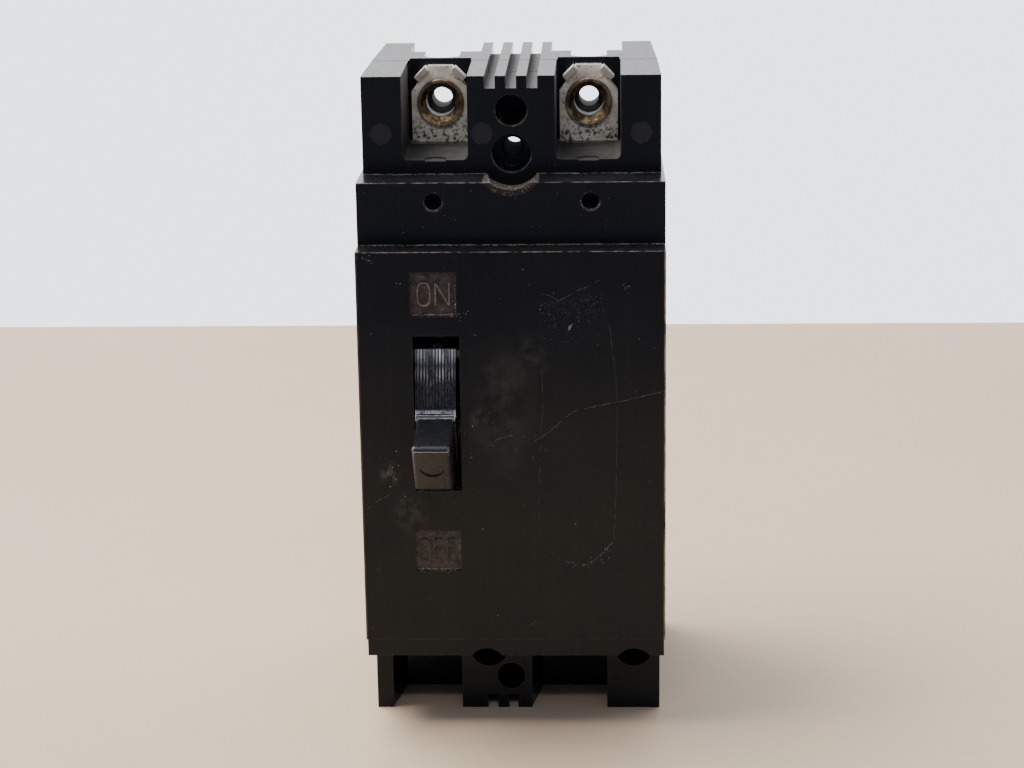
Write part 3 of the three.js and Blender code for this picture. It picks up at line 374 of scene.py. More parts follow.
def case_material():
    """Pressed phenolic: near black and satin, with a grey dust film on top that is painted pale to stand in
    for part of the grazing sheen, darker brown in the film's corners, pocket walls painted paler towards the
    top as painted light, painted highlights on the lower hole rims, crumbs, rubbed edges and smudges.
    """
    shader = Shader("black_molding")
    fine = shader.grain(1900, 0.42, 0.6)
    body = shader.mix(shader.grain(60, 0.35, 0.7, 5), (0.0046, 0.0045, 0.0051), (0.0074, 0.0067, 0.0063))
    streaks = shader.grain(1300, 0.52, 0.78, 3, shader.stretch((1, 1, 0.02)))
    body = shader.mix(shader.times(streaks, 0.25), body, (0.016, 0.0145, 0.0125))
    body = smudges(shader, body)
    body = pin_marks(shader, body)
    body = lit_hole_rims(shader, body)

    # Painted sheen: up-facing faces up high and at the rear get the pale grey film, partly dust and partly a
    # painted stand-in for their grazing sheen.
    up = shader.facing_up()
    rear = shader.fade(shader.axis("Y"), NOTCH_Y - 0.1 * MM, NOTCH_Y + 0.1 * MM)
    high = shader.either(shader.fade(shader.axis("Z"), FILM_Z, FILM_Z + 0.5 * MM), rear)
    corner = shader.hollow(2.2 * MM)
    film_and_sheen_grain = shader.mix(shader.grain(900, 0.35, 0.75, 5), GREY_FILM_AND_SHEEN, FILM_WORN)
    pepper = shader.times(shader.grain(2400, 0.58, 0.66, 3), 0.5)
    film_and_sheen_grain = shader.mix(pepper, film_and_sheen_grain, (0.06, 0.055, 0.05))
    # The film turns darker brown deep in corners, found by ambient occlusion.
    film = shader.mix(shader.hollow(2.5 * MM), film_and_sheen_grain, DARK_CORNER_BROWN)
    body = shader.mix(shader.times(up, high, 0.93), body, film)

    in_pocket = pocket_mask(shader)
    pocket_dust_and_light = shader.mix(shader.grain(500, 0.35, 0.7, 5), (0.020, 0.017, 0.014), (0.046, 0.039, 0.032))
    # Painted light: the pocket walls turn paler towards the top, where the overhead light reaches in.
    lit_wall = shader.fade(shader.axis("Z"), 98 * MM, TOP_Z)
    pocket_dust_and_light = shader.mix(shader.times(lit_wall, 0.8), pocket_dust_and_light, (0.125, 0.108, 0.088))
    body = shader.mix(shader.times(in_pocket, shader.ramp(fine, (0, 0.72), (1, 0.92))), body, pocket_dust_and_light)

    speckle = shader.times(shader.dots(3400, 0.5, 0.55), shader.grain(420, 0.34, 0.58, 4))
    low = shader.inverse(high)
    crumbs = shader.times(up, low, speckle, shader.ramp(corner, (0.1, 0.04), (0.6, 1.0)))
    relief = scallop_mask(shader)
    body = shader.mix(shader.times(relief, 0.8), body, (0.028, 0.023, 0.018))
    crumbs = shader.either(crumbs, shader.times(relief, shader.dots(3600, 0.42, 0.42), 0.9))
    body = shader.mix(crumbs, body, CRUMBS)

    edge = shader.worn_edge(0.3 * MM)
    rubbed = shader.times(edge, fine, 0.5)
    body = shader.mix(rubbed, body, (0.060, 0.057, 0.055))
    ledge_edge = shader.either(
        shader.slab("Z", FACE_TOP_Z - 0.35 * MM, FACE_TOP_Z + 0.1 * MM),
        shader.slab("Z", BAND_TOP_Z - 0.35 * MM, BAND_TOP_Z + 0.1 * MM),
    )
    chips = shader.times(edge, ledge_edge, shader.grain(700, 0.40, 0.58, 5))
    body = shader.mix(shader.times(chips, 0.8), body, (0.34, 0.33, 0.32))
    body = side_edges(shader, body)
    bores = bore_mask(shader)
    body = shader.mix(bores, body, (0.085, 0.082, 0.074))
    tube = tube_mask(shader)
    body = shader.mix(tube, body, (0.012, 0.0115, 0.011))

    shader.set("Base Color", body)
    gloss = shader.ramp(shader.noise(35, 5, 0.65), (0.3, 0.17), (0.75, 0.30))
    matte = shader.either(shader.times(up, high), in_pocket, crumbs, relief, bores, tube)
    shader.set("Roughness", shader.math("ADD", gloss, shader.times(matte, 0.5)))
    shader.set("Specular IOR Level", 0.21)
    shader.set("Specular Tint", (0.82, 0.92, 1, 1))
    shader.bump(shader.noise(2600, 3), 0.12, 0.02 * MM)
    return shader.material


def smudges(shader, body):
    """Old brown haze right of the lever, pale rubs at its lower left and faint ones elsewhere on the face."""
    on_front = shader.fade(shader.axis("Y"), FRONT_Y + 0.3 * MM, FRONT_Y + 0.1 * MM)
    haze = shader.fade(shader.distance((-2 * MM, FRONT_Y, 57 * MM), (1.5, 0, 0.8)), 10 * MM, 1 * MM)
    haze = shader.times(haze, shader.grain(190, 0.38, 0.66, 5), on_front)
    body = shader.mix(shader.times(haze, 0.85), body, (0.040, 0.034, 0.029))
    for x, z, reach, amount in RUBS:
        rub = shader.fade(shader.distance((x * MM, FRONT_Y, z * MM), (1.2, 0, 1)), reach * MM, 0.2 * MM)
        rub = shader.times(rub, shader.grain(650, 0.42, 0.62, 5), on_front, amount)
        body = shader.mix(rub, body, (0.085, 0.078, 0.071))
    return recesses(shader, body)


def recesses(shader, body):
    """Brown dirt on the floors of the two legend recesses."""
    sunk = shader.fade(shader.axis("Y"), FRONT_Y + 0.3 * MM, LEGEND_FLOOR_Y - 0.05 * MM)
    across = shader.slab("X", LEGEND_X[0], LEGEND_X[1], 0.02 * MM)
    rows = [shader.slab("Z", low, low + LEGEND_HEIGHT, 0.02 * MM) for low in LEGEND_LOW]
    shallow = shader.fade(shader.axis("Y"), LEGEND_FLOOR_Y + 0.4 * MM, LEGEND_FLOOR_Y + 0.2 * MM)
    floors = shader.times(sunk, shallow, across, shader.either(*rows))
    dirt = shader.mix(shader.grain(900, 0.35, 0.65, 5), (0.020, 0.017, 0.0145), (0.060, 0.050, 0.040))
    return shader.mix(shader.times(floors, 0.9), body, dirt)


def pin_marks(shader, body):
    """The round marks of the mold's ejector pins, a little paler than the face round them."""
    on_face = shader.slab("Y", TERMINAL_Y - 0.3 * MM, TERMINAL_Y + 0.3 * MM)
    for x in PIN_MARKS:
        reach = shader.distance((x, TERMINAL_Y, PIN_MARK_Z), (1, 0, 1))
        disc = shader.times(shader.fade(reach, PIN_MARK_R, PIN_MARK_R - 0.12 * MM), on_face)
        body = shader.mix(disc, body, (0.020, 0.0195, 0.021))
    return body


def lit_hole_rims(shader, body):
    """A painted highlight on the lower rims of the two middle holes and of the chipped holes of the band,
    where the rim faces up to the light, broken up by noise.
    """
    patchy = shader.grain(1100, 0.34, 0.6, 4)
    for x, z, radius, plane, width in LIT_HOLE_RIMS:
        reach = shader.distance((x * MM, plane, z * MM), (1, 0, 1))
        inside = shader.fade(reach, (radius - 0.1) * MM, radius * MM)
        outside = shader.fade(reach, (radius + width) * MM, (radius + width * 0.4) * MM)
        # Painted highlight on the lower half of each rim, where its edge faces up to the light.
        lower = shader.fade(shader.axis("Z"), (z + 0.3) * MM, (z - 1) * MM)
        rim_highlight = shader.times(inside, outside, lower, patchy, shader.slab("Y", plane - 0.2 * MM, plane + 0.5 * MM))
        body = shader.mix(shader.times(rim_highlight, 0.8), body, (0.115, 0.102, 0.088))
    return body


def pocket_mask(shader):
    """1 on the walls and floors of the two line pockets, behind the terminal face."""
    masks = [shader.slab("X", x - POCKET_HALF, x + POCKET_HALF, 0.02 * MM) for x in LINE_X]
    behind = shader.slab("Y", TERMINAL_Y + 0.2 * MM, STRAP_Y - 1.2 * MM)
    above = shader.slab("Z", 95 * MM, TOP_Z - 0.3 * MM)
    return shader.times(shader.either(*masks), behind, above)


def bore_mask(shader):
    """1 on the wall of the hole behind each bush."""
    near = [shader.fade(shader.distance((x, 0, BUSH_Z), (1, 0, 1)), 3.6 * MM, 3.3 * MM) for x in LINE_X]
    return shader.times(shader.either(*near), shader.slab("Y", STRAP_Y + 1 * MM, NOTCH_Y + 40 * MM))


def tube_mask(shader):
    """1 in the long narrow hole for the mounting screw."""
    near = shader.fade(shader.distance((0, 0, MOUNT_HOLE_Z), (1, 0, 1)), 2.1 * MM, 1.8 * MM)
    return shader.times(near, shader.slab("Y", TERMINAL_Y + 1 * MM, NOTCH_Y + 40 * MM))


def scallop_mask(shader):
    """1 in the round relief under the mounting hole."""
    reach = shader.distance((0, BAND_Y, MOUNT_HOLE_Z), (1, 0, 1))
    near = shader.fade(reach, 5.9 * MM, 5.6 * MM)
    return shader.times(near, shader.slab("Y", BAND_Y, TERMINAL_Y - 0.05 * MM, 0.05 * MM))


def side_edges(shader, body):
    """A tan rub along the right front edge and a reddish one along the left."""
    broken = shader.grain(260, 0.30, 0.55, 5)
    right = shader.fade(shader.distance((HALF_WIDTH, FRONT_Y, 0), (1, 1, 0)), 0.36 * MM, 0.16 * MM)
    left = shader.fade(shader.distance((-HALF_WIDTH, FRONT_Y, 0), (1, 1, 0)), 0.36 * MM, 0.16 * MM)
    right = shader.times(right, broken)
    left = shader.times(left, broken)
    body = shader.mix(shader.times(right, 0.85), body, (0.30, 0.235, 0.165))
    return shader.mix(shader.times(left, 0.7), body, (0.115, 0.070, 0.055))


# ---------------------------------------------------------------- other moldings and metals
def molding_material(name, tint, rubbed, rough, specular):
    """Smooth molding with faint clouds, rubbed edges and dust in its corners."""
    shader = Shader(name)
    fine = shader.grain(1800, 0.42, 0.6)
    warm = tuple(channel * 1.6 + 0.002 for channel in tint)
    body = shader.mix(shader.grain(160, 0.35, 0.7, 5), tint, warm)
    edge = shader.times(shader.worn_edge(0.2 * MM), fine, 0.5)
    body = shader.mix(edge, body, rubbed)
    crumbs = shader.times(shader.hollow(0.6 * MM), shader.grain(2600, 0.56, 0.64, 3), 0.6)
    shader.set("Base Color", shader.mix(crumbs, body, CRUMBS))
    gloss = shader.ramp(shader.noise(300, 5, 0.65), (0.3, rough - 0.05), (0.75, rough + 0.12))
    shader.set("Roughness", shader.math("ADD", gloss, shader.times(crumbs, 0.5)))
    shader.set("Specular IOR Level", specular)
    shader.bump(shader.noise(2600, 3), 0.12, 0.02 * MM)
    return shader.material


def lever_material():
    """Glossy molding; painted highlights on the drum's rib crests near their upper ends, along the root step
    and along the tip's top edge, dirt lower on the drum, and painted shade on the lever inside the slot
    beside the drum.
    """
    shader = Shader("lever_molding")
    body = shader.mix(shader.grain(160, 0.35, 0.7, 5), (0.0075, 0.0075, 0.0088), (0.0135, 0.0130, 0.0138))
    edge = shader.worn_edge(0.2 * MM)
    body = shader.mix(shader.times(edge, shader.grain(1800, 0.42, 0.6), 0.5), body, (0.16, 0.16, 0.165))
    inside = shader.fade(shader.axis("Y"), FRONT_Y + 0.2 * MM, FRONT_Y + 1 * MM)
    across = shader.slab("X", *DRUM_X)
    on_drum = shader.times(inside, across)
    # Painted highlight: bright streaks on the rib crests near their upper ends and fainter ones lower down,
    # where the ribs catch the front light.
    top = shader.slab("Z", RIB_TOP_Z - 1.9 * MM, RIB_TOP_Z + 0.3 * MM, 0.7 * MM)
    middle = shader.slab("Z", RIB_TOP_Z - 4.7 * MM, RIB_TOP_Z - 3 * MM, 0.7 * MM)
    uneven = shader.grain(800, 0.38, 0.60, 3, shader.stretch((1, 0.02, 0.12)))
    crests = shader.stripes("X", RIB_X, RIB_PITCH, CREST_WIDTH)
    rib_highlight = shader.times(crests, on_drum, shader.either(top, shader.times(middle, 0.5)), uneven)
    body = shader.mix(rib_highlight, body, (0.95, 0.95, 1))
    caked = shader.grain(1500, 0.54, 0.66, 3, shader.stretch((1, 1, 0.3)))
    dirt = shader.times(on_drum, shader.inverse(top), caked)
    body = shader.mix(shader.times(dirt, 0.5), body, (0.20, 0.155, 0.115))
    # Painted highlight: near white lines along the root step and the tip's top edge.
    root_highlight = shader.times(edge, shader.slab("Z", *ROOT_Z), shader.grain(900, 0.3, 0.5))
    outer = shader.fade(shader.axis("Y"), FRONT_Y - 10 * MM, TIP_Y)
    tip_highlight = shader.times(edge, shader.slab("Z", *TIP_Z), outer)
    body = shader.mix(shader.either(root_highlight, tip_highlight), body, (0.92, 0.92, 0.97))
    # Painted shade: the lever inside the slot, beside the drum, is painted near black.
    body = shader.mix(shader.times(inside, shader.inverse(across)), body, (0.002, 0.002, 0.002))
    shader.set("Base Color", body)
    gloss = shader.ramp(shader.noise(300, 5, 0.65), (0.3, 0.20), (0.75, 0.34))
    shader.set("Roughness", shader.math("ADD", gloss, shader.times(dirt, 0.4)))
    shader.set("Specular IOR Level", 0.3)
    shader.set("Specular Tint", (0.85, 0.92, 1, 1))
    shader.bump(shader.noise(2600, 3), 0.12, 0.02 * MM)
    return shader.material


def metal_material(name, bright, dull, spots, rough=0.38):
    """Bare or plated metal: tarnish clouds, dark spots, fine brushed grain."""
    shader = Shader(name)
    color = shader.mix(shader.grain(500, 0.35, 0.68, 6), bright, dull)
    spotted = shader.times(shader.grain(1700, 0.58, 0.66, 3), 0.8)
    shader.set("Base Color", shader.mix(spotted, color, spots))
    shader.set("Metallic", shader.ramp(spotted, (0.0, 0.95), (1.0, 0.2)))
    shader.set("Roughness", shader.ramp(shader.noise(900, 5), (0.3, rough - 0.08), (0.7, rough + 0.18)))
    shader.bump(shader.noise(3000, 3), 0.25, 0.03 * MM)
    return shader.material


def tinned_material():
    """Dull tin plate, stained and pitted towards the foot of each pocket, with up-facing faces painted darker
    as painted shade to offset the overhead light they catch.
    """
    shader = Shader("tinned_copper")
    color = shader.mix(shader.grain(300, 0.36, 0.72, 7), (0.95, 0.86, 0.68), (0.46, 0.405, 0.31))
    # Painted shade: up-facing faces, such as the ears, are darkened to offset the overhead light they catch.
    color = shader.mix(shader.times(shader.facing_up(), 0.9), color, (0.20, 0.185, 0.155))
    tabs = shader.fade(shader.axis("Y"), STRAP_Y + 1.2 * MM, STRAP_Y + 0.9 * MM)
    color = shader.mix(shader.times(tabs, 0.8), color, (0.30, 0.27, 0.22))
    stained = shader.fade(shader.axis("Z"), 101.5 * MM, 97.5 * MM)
    pits = shader.grain(1500, 0.50, 0.58, 5)
    few_pits = shader.grain(1300, 0.60, 0.68, 5)
    dark = shader.either(shader.times(pits, stained), few_pits)
    color = shader.mix(shader.times(dark, 0.9), color, (0.018, 0.014, 0.012))
    shader.set("Base Color", color)
    shader.set("Metallic", shader.ramp(dark, (0.0, 0.15), (1.0, 0.0)))
    shader.set("Roughness", shader.ramp(shader.noise(900, 5), (0.3, 0.42), (0.7, 0.62)))
    shader.bump(shader.noise(2200, 4), 0.3, 0.04 * MM)
    return shader.material


def bush_material():
    """A countersunk bush: dull gold mouth with brown patches, its lower part painted bright gold as a painted
    highlight where the mouth faces up to the light, darker above, with a plated bore.
    """
    shader = Shader("terminal_bush")
    bores = [shader.distance((x, 0, BUSH_Z), (1, 0, 1)) for x in LINE_X]
    reach = shader.add("ShaderNodeMath", operation="MINIMUM")
    shader.plug(reach.inputs[0], bores[0])
    shader.plug(reach.inputs[1], bores[1])
    ring = shader.fade(reach.outputs[0], 2.45 * MM, 2.75 * MM)
    # Painted highlight: the lower part of the mouth, which faces up to the light, is painted bright gold in
    # patches.
    lower = shader.fade(shader.axis("Z"), BUSH_Z - 0.6 * MM, BUSH_Z - 3.0 * MM)
    patchy = shader.grain(480, 0.38, 0.66, 6)
    gold = shader.mix(shader.times(lower, patchy), (0.20, 0.135, 0.075), (1.0, 0.72, 0.30))
    brown = shader.grain(700, 0.44, 0.58, 5)
    gold = shader.mix(shader.times(brown, 0.85), gold, (0.040, 0.022, 0.013))
    plated = shader.mix(shader.grain(600, 0.4, 0.7), (0.15, 0.145, 0.13), (0.08, 0.075, 0.065))
    shader.set("Base Color", shader.mix(ring, plated, gold))
    shader.set("Metallic", shader.ramp(ring, (0.0, 0.1), (1.0, 0.5)))
    shader.set("Roughness", shader.ramp(shader.noise(900, 5), (0.3, 0.26), (0.7, 0.5)))
    shader.bump(shader.noise(1800, 4), 0.35, 0.05 * MM)
    return shader.material


SLOT_MATERIALS = {
    "black_molding": case_material(),
    "lever_molding": lever_material(),
    "tinned_copper": tinned_material(),
    "brass": metal_material("brass", (0.62, 0.42, 0.16), (0.30, 0.16, 0.06), (0.06, 0.03, 0.015)),
    "steel": metal_material("steel", (0.45, 0.45, 0.44), (0.30, 0.30, 0.29), (0.08, 0.05, 0.03)),
    "copper": metal_material("copper", (0.60, 0.28, 0.14), (0.30, 0.13, 0.07), (0.05, 0.03, 0.02)),
    "silver": metal_material("silver", (0.75, 0.74, 0.70), (0.45, 0.43, 0.38), (0.08, 0.07, 0.06)),
    "fibre": molding_material("fibre", (0.16, 0.045, 0.028), (0.25, 0.12, 0.08), 0.7, 0.3),
    "bakelite": molding_material("bakelite", (0.035, 0.018, 0.011), (0.12, 0.08, 0.06), 0.4, 0.4),
    "spring_steel": metal_material(
        "spring_steel", (0.32, 0.33, 0.34), (0.18, 0.18, 0.19), (0.06, 0.04, 0.03)
    ),
}
BUSH_BRASS = bush_material()
NODE_MATERIALS = {
    "line_bush_left": BUSH_BRASS,
    "line_bush_right": BUSH_BRASS,
    # Painted shade: the yoke is painted near black where it shows inside the slot.
    "handle_yoke": metal_material(
        "yoke_steel_painted_dark", (0.035, 0.034, 0.033), (0.016, 0.015, 0.014), (0.010, 0.008, 0.007)
    ),
}


# ---------------------------------------------------------------- edges and materials of the CAD nodes
# Edge rounding in mm.
ROUNDED = {
    "cover": 0.15, "base": 0.15, "handle": 0.08, "line_strap_left": 0.15, "line_strap_right": 0.15,
}
PLAIN_ROUND = 0.1


def finish_node(name, slot):
    node = NODES[name]
    node.data.materials.clear()
    node.data.materials.append(NODE_MATERIALS.get(name, SLOT_MATERIALS[slot]))
    flatten = node.modifiers.new("flatten", "DECIMATE")
    flatten.decimate_type = "DISSOLVE"
    flatten.angle_limit = math.radians(0.6)
    bevel = node.modifiers.new("edge", "BEVEL")
    bevel.width = ROUNDED.get(name, PLAIN_ROUND) * MM
    bevel.segments = 2
    bevel.limit_method = "ANGLE"
    bevel.angle_limit = math.radians(40)
    bevel.harden_normals = False
    node.data.polygons.foreach_set("use_smooth", [True] * len(node.data.polygons))
    normals = node.modifiers.new("normals", "WEIGHTED_NORMAL")
    normals.keep_sharp = True


for part in frame["record"]["subparts"]:
    finish_node(part["node"], part["material_slot"])


# ---------------------------------------------------------------- letters, glue, scratches and crumbs
def surface_material(name, pale, dark, rough=0.7):
    shader = Shader(name)
    shader.set("Base Color", shader.mix(shader.grain(2200, 0.4, 0.65, 4), dark, pale))
    shader.set("Roughness", shader.ramp(shader.noise(1500), (0.3, rough - 0.1), (0.7, rough + 0.1)))
    shader.set("Specular IOR Level", 0.25)
    shader.bump(shader.noise(3500, 3), 0.3, 0.02 * MM)
    return shader.material


def add_piece(name, vertices, faces, material):
    """A piece of the case's own surface, riding on the case."""
    mesh = bpy.data.meshes.new(name)
    mesh.from_pydata([tuple(v) for v in vertices], [], faces)
    mesh.update()
    mesh.materials.append(material)
    piece = bpy.data.objects.new(name, mesh)
    bpy.context.scene.collection.objects.link(piece)
    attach(piece, "case")
    return piece


def ridge(points, widths, back_y, front_y, crown, closed=False):
    """A bar along (x, z) points in mm from back_y out to front_y, its crown narrower than its foot."""
    count = len(points)
    vertices = []
    for i, (x, z) in enumerate(points):
        before = points[i - 1] if i or closed else points[0]
        after = points[(i + 1) % count] if i < count - 1 or closed else points[-1]
        along = Vector((after[0] - before[0], after[1] - before[1])).normalized()
        side = Vector((-along.y, along.x)) * widths[i] / 2
        for share, y in ((1, back_y), (crown, front_y), (-crown, front_y), (-1, back_y)):
            vertices.append(((x + side.x * share) * MM, y, (z + side.y * share) * MM))
    faces = []
    for i in range(count if closed else count - 1):
        a, b = 4 * i, 4 * ((i + 1) % count)
        faces += [(a + k, a + (k + 1) % 4, b + (k + 1) % 4, b + k) for k in range(4)]
    if not closed:
        last = 4 * (count - 1)
        faces += [(3, 2, 1, 0), (last, last + 1, last + 2, last + 3)]
    return vertices, faces


def joined(shapes):
    vertices = []
    faces = []
    for points, polygons in shapes:
        faces += [tuple(i + len(vertices) for i in polygon) for polygon in polygons]
        vertices += points
    return vertices, faces


STROKE = 0.3
LETTER_HEIGHT = 0.3 * MM


def stroke(points, closed=False):
    foot = LEGEND_FLOOR_Y + 0.05 * MM
    return ridge(points, [STROKE] * len(points), foot, LEGEND_FLOOR_Y - LETTER_HEIGHT, 0.7, closed)


def letter_o(x0, x1, z0, z1):
    turns = [math.tau * i / 24 for i in range(24)]
    middle_x, middle_z = (x0 + x1) / 2, (z0 + z1) / 2
    half_x, half_z = (x1 - x0) / 2, (z1 - z0) / 2
    square = 0.72

    def bow(value):
        return math.copysign(abs(value) ** square, value)

    outline = [(middle_x + half_x * bow(math.cos(t)), middle_z + half_z * bow(math.sin(t))) for t in turns]
    return [stroke(outline, True)]


def letter_n(x0, x1, z0, z1):
    return [stroke([(x0, z0), (x0, z1)]), stroke([(x0, z1), (x1, z0)]), stroke([(x1, z0), (x1, z1)])]


def letter_f(x0, x1, z0, z1):
    middle = z0 + 0.52 * (z1 - z0)
    arm = x0 + 0.8 * (x1 - x0)
    bars = (((x0, z0), (x0, z1)), ((x0, z1), (x1, z1)), ((x0, middle), (arm, middle)))
    return [stroke(bar) for bar in bars]


RECESS_DUST = surface_material("recess_dust", (0.42, 0.35, 0.27), (0.13, 0.108, 0.085))
ON_Z = (74.45, 78.3)
OFF_Z = (30.2, 33.9)
add_piece(
    "legend_on",
    *joined(letter_o(-15.3, -13.25, *ON_Z) + letter_n(-12.35, -10.1, *ON_Z)),
    surface_material("letters_rubbed", (0.170, 0.150, 0.125), (0.070, 0.060, 0.050)),
)
add_piece(
    "legend_off",
    *joined(
        letter_o(-16.05, -14.1, *OFF_Z) + letter_f(-13.4, -12.1, *OFF_Z) + letter_f(-11.25, -9.95, *OFF_Z)
    ),
    surface_material("letters_dull", (0.065, 0.058, 0.050), (0.022, 0.020, 0.018)),
)


def wander(rng, points, step, sway):
    """Points along a path every step mm, each moved a little to the side."""
    path = []
    for (x0, z0), (x1, z1) in zip(points, points[1:]):
        length = math.hypot(x1 - x0, z1 - z0)
        count = max(1, round(length / step))
        for i in range(count):
            share = i / count
            x = x0 + (x1 - x0) * share + rng.gauss(0, sway)
            z = z0 + (z1 - z0) * share + rng.gauss(0, sway)
            path.append((x, z))
    return path + [points[-1]]


def broken_line(rng, points, width, keep, sway=0.04, step=0.35, height=0.03):
    """A thin ridge that breaks off and starts again: keep is how much of it is left."""
    path = wander(rng, points, step, sway)
    shapes = []
    run = []
    for point in path:
        if rng.random() < keep:
            run.append(point)
            continue
        if len(run) > 1:
            shapes.append(run)
        run = []
    if len(run) > 1:
        shapes.append(run)
    made = []
    for run in shapes:
        widths = [width * rng.uniform(0.5, 1.3) for _ in run]
        widths[0] *= 0.4
        widths[-1] *= 0.4
        made.append(ridge(run, widths, FRONT_Y + 0.02 * MM, FRONT_Y - height * MM, 0.5))
    return made


def flake(rng, x, z, radius, plane_y=FRONT_Y):
    """A flat crumb with uneven corners, half sunk in the face; x, z and radius in mm."""
    corners = 5
    start = rng.uniform(0, math.tau)
    stretch = rng.uniform(0.5, 1)
    lean = rng.uniform(0, math.pi)
    ring = []
    for i in range(corners):
        angle = start + math.tau * i / corners
        reach = radius * rng.uniform(0.7, 1.2)
        a, b = reach * math.cos(angle), reach * math.sin(angle) * stretch
        ring.append((a * math.cos(lean) - b * math.sin(lean), a * math.sin(lean) + b * math.cos(lean)))
    vertices = [((x + a) * MM, plane_y + 0.01 * MM, (z + b) * MM) for a, b in ring]
    peak_y = plane_y - min(0.06, radius * 0.5) * MM
    vertices += [(x * MM, peak_y, z * MM), (x * MM, plane_y + 0.03 * MM, z * MM)]
    faces = []
    for i in range(corners):
        after = (i + 1) % corners
        faces += [(i, after, corners), (after, i, corners + 1)]
    return vertices, faces


REACH = HALF_WIDTH / MM - 0.4


def crumbs_near(rng, count, place, sizes, plane_y=FRONT_Y):
    """Flakes whose middles come from place(), most of them small."""
    shapes = []
    for _ in range(count):
        x, z = place()
        x = max(-REACH, min(REACH, x))
        size = sizes[0] + (sizes[1] - sizes[0]) * rng.random() ** 3
        shapes.append(flake(rng, x, z, size, plane_y))
    return shapes


def make_glue_outline():
    """The dried edge of a label that has been peeled off: wavy at the top, round at the foot."""
    rng = random.Random(11)
    top = [(4.5, 76.6), (6.3, 76.2), (7.9, 75.4), (9.5, 76.1), (11, 77), (12.6, 77.7), (14.5, 78.7)]
    left = [(5, 63.6), (5.1, 58.2), (4.7, 51.5), (4.2, 41.3), (4.2, 34.7)]
    right = [(16.1, 71.4), (17.2, 62.2), (17.4, 54.1), (17.1, 41.3), (16.8, 33.7)]
    shapes = broken_line(rng, top, 0.12, 0.9)
    shapes += broken_line(rng, [(14.5, 78.7), (15, 75.1), (15.6, 71)], 0.08, 0.7)
    shapes += broken_line(rng, [(6.2, 67.9), (10, 68.5), (12.9, 67.8), (15.4, 65.5)], 0.08, 0.6)
    shapes += broken_line(rng, left, 0.09, 0.9, 0.03)
    shapes += broken_line(rng, right, 0.09, 0.93, 0.03)
    shapes += broken_line(rng, [(4.2, 34.4), (5.2, 32.3), (8.4, 30.1)], 0.09, 0.7)
    shapes += broken_line(rng, [(8.4, 30.1), (12.3, 29.4), (14.6, 31.3), (16.7, 33.6)], 0.16, 0.86, 0.08)
    glue = surface_material("dried_glue", (0.078, 0.072, 0.066), (0.028, 0.026, 0.024))
    add_piece("label_glue_outline", *joined(shapes), glue)


def make_glue_crumbs():
    """Fine pale crumbs left in the glue, thickest under its wavy top edge and on its lower right."""
    rng = random.Random(23)

    def under_top():
        x = rng.uniform(4.6, 14.9)
        return x, 75.6 - abs(rng.gauss(0, 3.2)) + 0.12 * (x - 9)

    def lower_right():
        turn = rng.uniform(-0.3, 1.2)
        reach = rng.gauss(5.2, 0.5)
        return 11.2 + reach * math.sin(turn), 34.6 - reach * math.cos(turn)

    shapes = crumbs_near(rng, 620, under_top, (0.03, 0.09))
    shapes += crumbs_near(rng, 70, lower_right, (0.04, 0.16))
    shapes += broken_line(rng, [(9.4, 70.3), (9.7, 70.9), (10.1, 71.4)], 0.42, 1, 0.02, height=0.05)
    pale = surface_material("glue_crumbs", (0.19, 0.182, 0.17), (0.06, 0.057, 0.053))
    add_piece("label_glue_crumbs", *joined(shapes), pale)


def make_scratches():
    """A long thin scratch that climbs from the lower left to the right edge, and three short ones."""
    rng = random.Random(5)
    shapes = broken_line(rng, [(-25, 39.3), (-22.5, 41), (-20.1, 42.4)], 0.11, 0.95)
    shapes += broken_line(rng, [(-4.3, 50.5), (-2.4, 51.7), (0.5, 52.4), (2.2, 52)], 0.13, 0.97)
    shapes += broken_line(rng, [(3.4, 51.1), (6, 52.8), (9.9, 56.3), (12.5, 57)], 0.11, 0.93)
    shapes += broken_line(rng, [(12.5, 57), (18.3, 58.2), (24.9, 59.8)], 0.13, 0.97)
    shapes += broken_line(rng, [(-16, 35.2), (-13.5, 36.8)], 0.08, 0.9)
    shapes += broken_line(rng, [(18.6, 77), (19.3, 77.8)], 0.14, 1)
    shapes += broken_line(rng, [(-24.3, 82.9), (-22.4, 81.6)], 0.12, 1)
    bared = surface_material("scratch", (0.085, 0.075, 0.067), (0.036, 0.032, 0.029), 0.5)
    add_piece("face_scratches", *joined(shapes), bared)


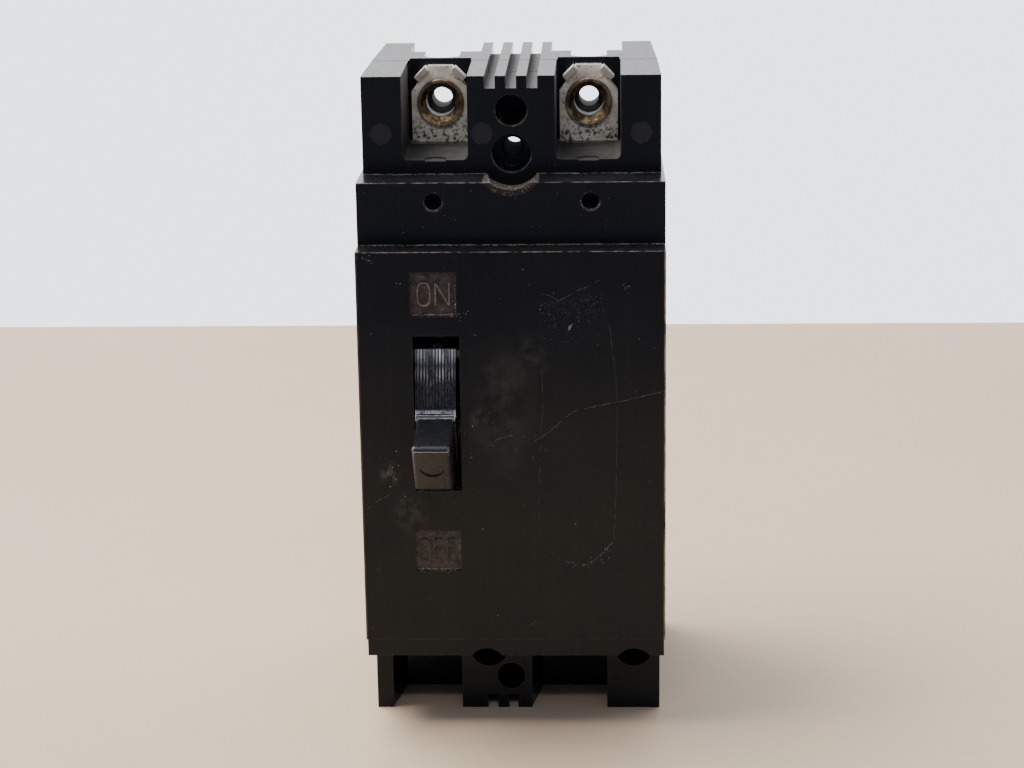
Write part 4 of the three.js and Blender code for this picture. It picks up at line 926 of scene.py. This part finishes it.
def make_dust_specks():
    """Pale specks scattered over the face, with clusters where dirt has caught.

    A cluster is x and z in mm, its spread, and how many specks it has.
    """
    rng = random.Random(31)
    clusters = (
        (-6.3, 69.6, 0.4, 4), (1.9, 81, 0.3, 3), (19, 77.5, 0.5, 5), (-0.6, 53.4, 0.5, 5),
        (-6.6, 48.8, 0.5, 8), (-6.9, 54.2, 1.2, 14), (-4.9, 35.8, 0.4, 3), (-18.8, 77.9, 0.4, 4),
        (-23.6, 82.4, 1.1, 12), (10.6, 37.1, 0.5, 5), (-19.5, 41, 0.6, 6), (-20.8, 46, 1.3, 26),
        (-8.2, 72.9, 0.7, 12), (3.2, 18.7, 0.4, 3), (-17.5, 42.2, 0.7, 8),
    )

    def anywhere(width, low, high):
        return lambda: (rng.uniform(-width, width), rng.uniform(low, high))

    shapes = crumbs_near(rng, 210, anywhere(24.8, 17, 83), (0.025, 0.085))
    for x, z, spread, count in clusters:
        shapes += crumbs_near(rng, count, lambda: (rng.gauss(x, spread), rng.gauss(z, spread)), (0.04, 0.14))
    band = crumbs_near(rng, 60, anywhere(24.5, 84.5, 93), (0.025, 0.09), BAND_Y)
    for hole_x in BAND_HOLE_X:
        def on_rim():
            turn = rng.uniform(0, math.tau)
            return hole_x + 1.6 * math.cos(turn), BAND_HOLE_Z + 1.6 * math.sin(turn)

        band += crumbs_near(rng, 16, on_rim, (0.04, 0.13), BAND_Y)
    terminal = crumbs_near(rng, 30, anywhere(24, 94.6, 96), (0.025, 0.08), TERMINAL_Y)
    pale = surface_material("dust_specks", (0.50, 0.45, 0.38), (0.15, 0.135, 0.115))
    add_piece("dust_specks", *joined(shapes + band + terminal), pale)


def make_recess_dust():
    """Dust packed along the lower and right edges of the two legend recesses."""
    rng = random.Random(47)
    shapes = []
    for low_z in (72.68, 28.36):
        for x in (-16.3 + 0.16 * i for i in range(45)):
            z = low_z + 0.14 + rng.uniform(0, 0.12)
            shapes.append(flake(rng, x, z, rng.uniform(0.08, 0.17), LEGEND_FLOOR_Y))
        for z in (low_z + 0.3 + 0.25 * i for i in range(26)):
            x = -9.1 + rng.uniform(-0.05, 0.05)
            shapes.append(flake(rng, x, z, rng.uniform(0.05, 0.12), LEGEND_FLOOR_Y))

        def on_floor():
            return rng.uniform(-16.3, -9.2), rng.uniform(low_z + 0.3, low_z + 6.8)

        shapes += crumbs_near(rng, 70, on_floor, (0.03, 0.12), LEGEND_FLOOR_Y)
    add_piece("recess_dust", *joined(shapes), RECESS_DUST)


make_glue_outline()
make_glue_crumbs()
make_scratches()
make_dust_specks()
make_recess_dust()
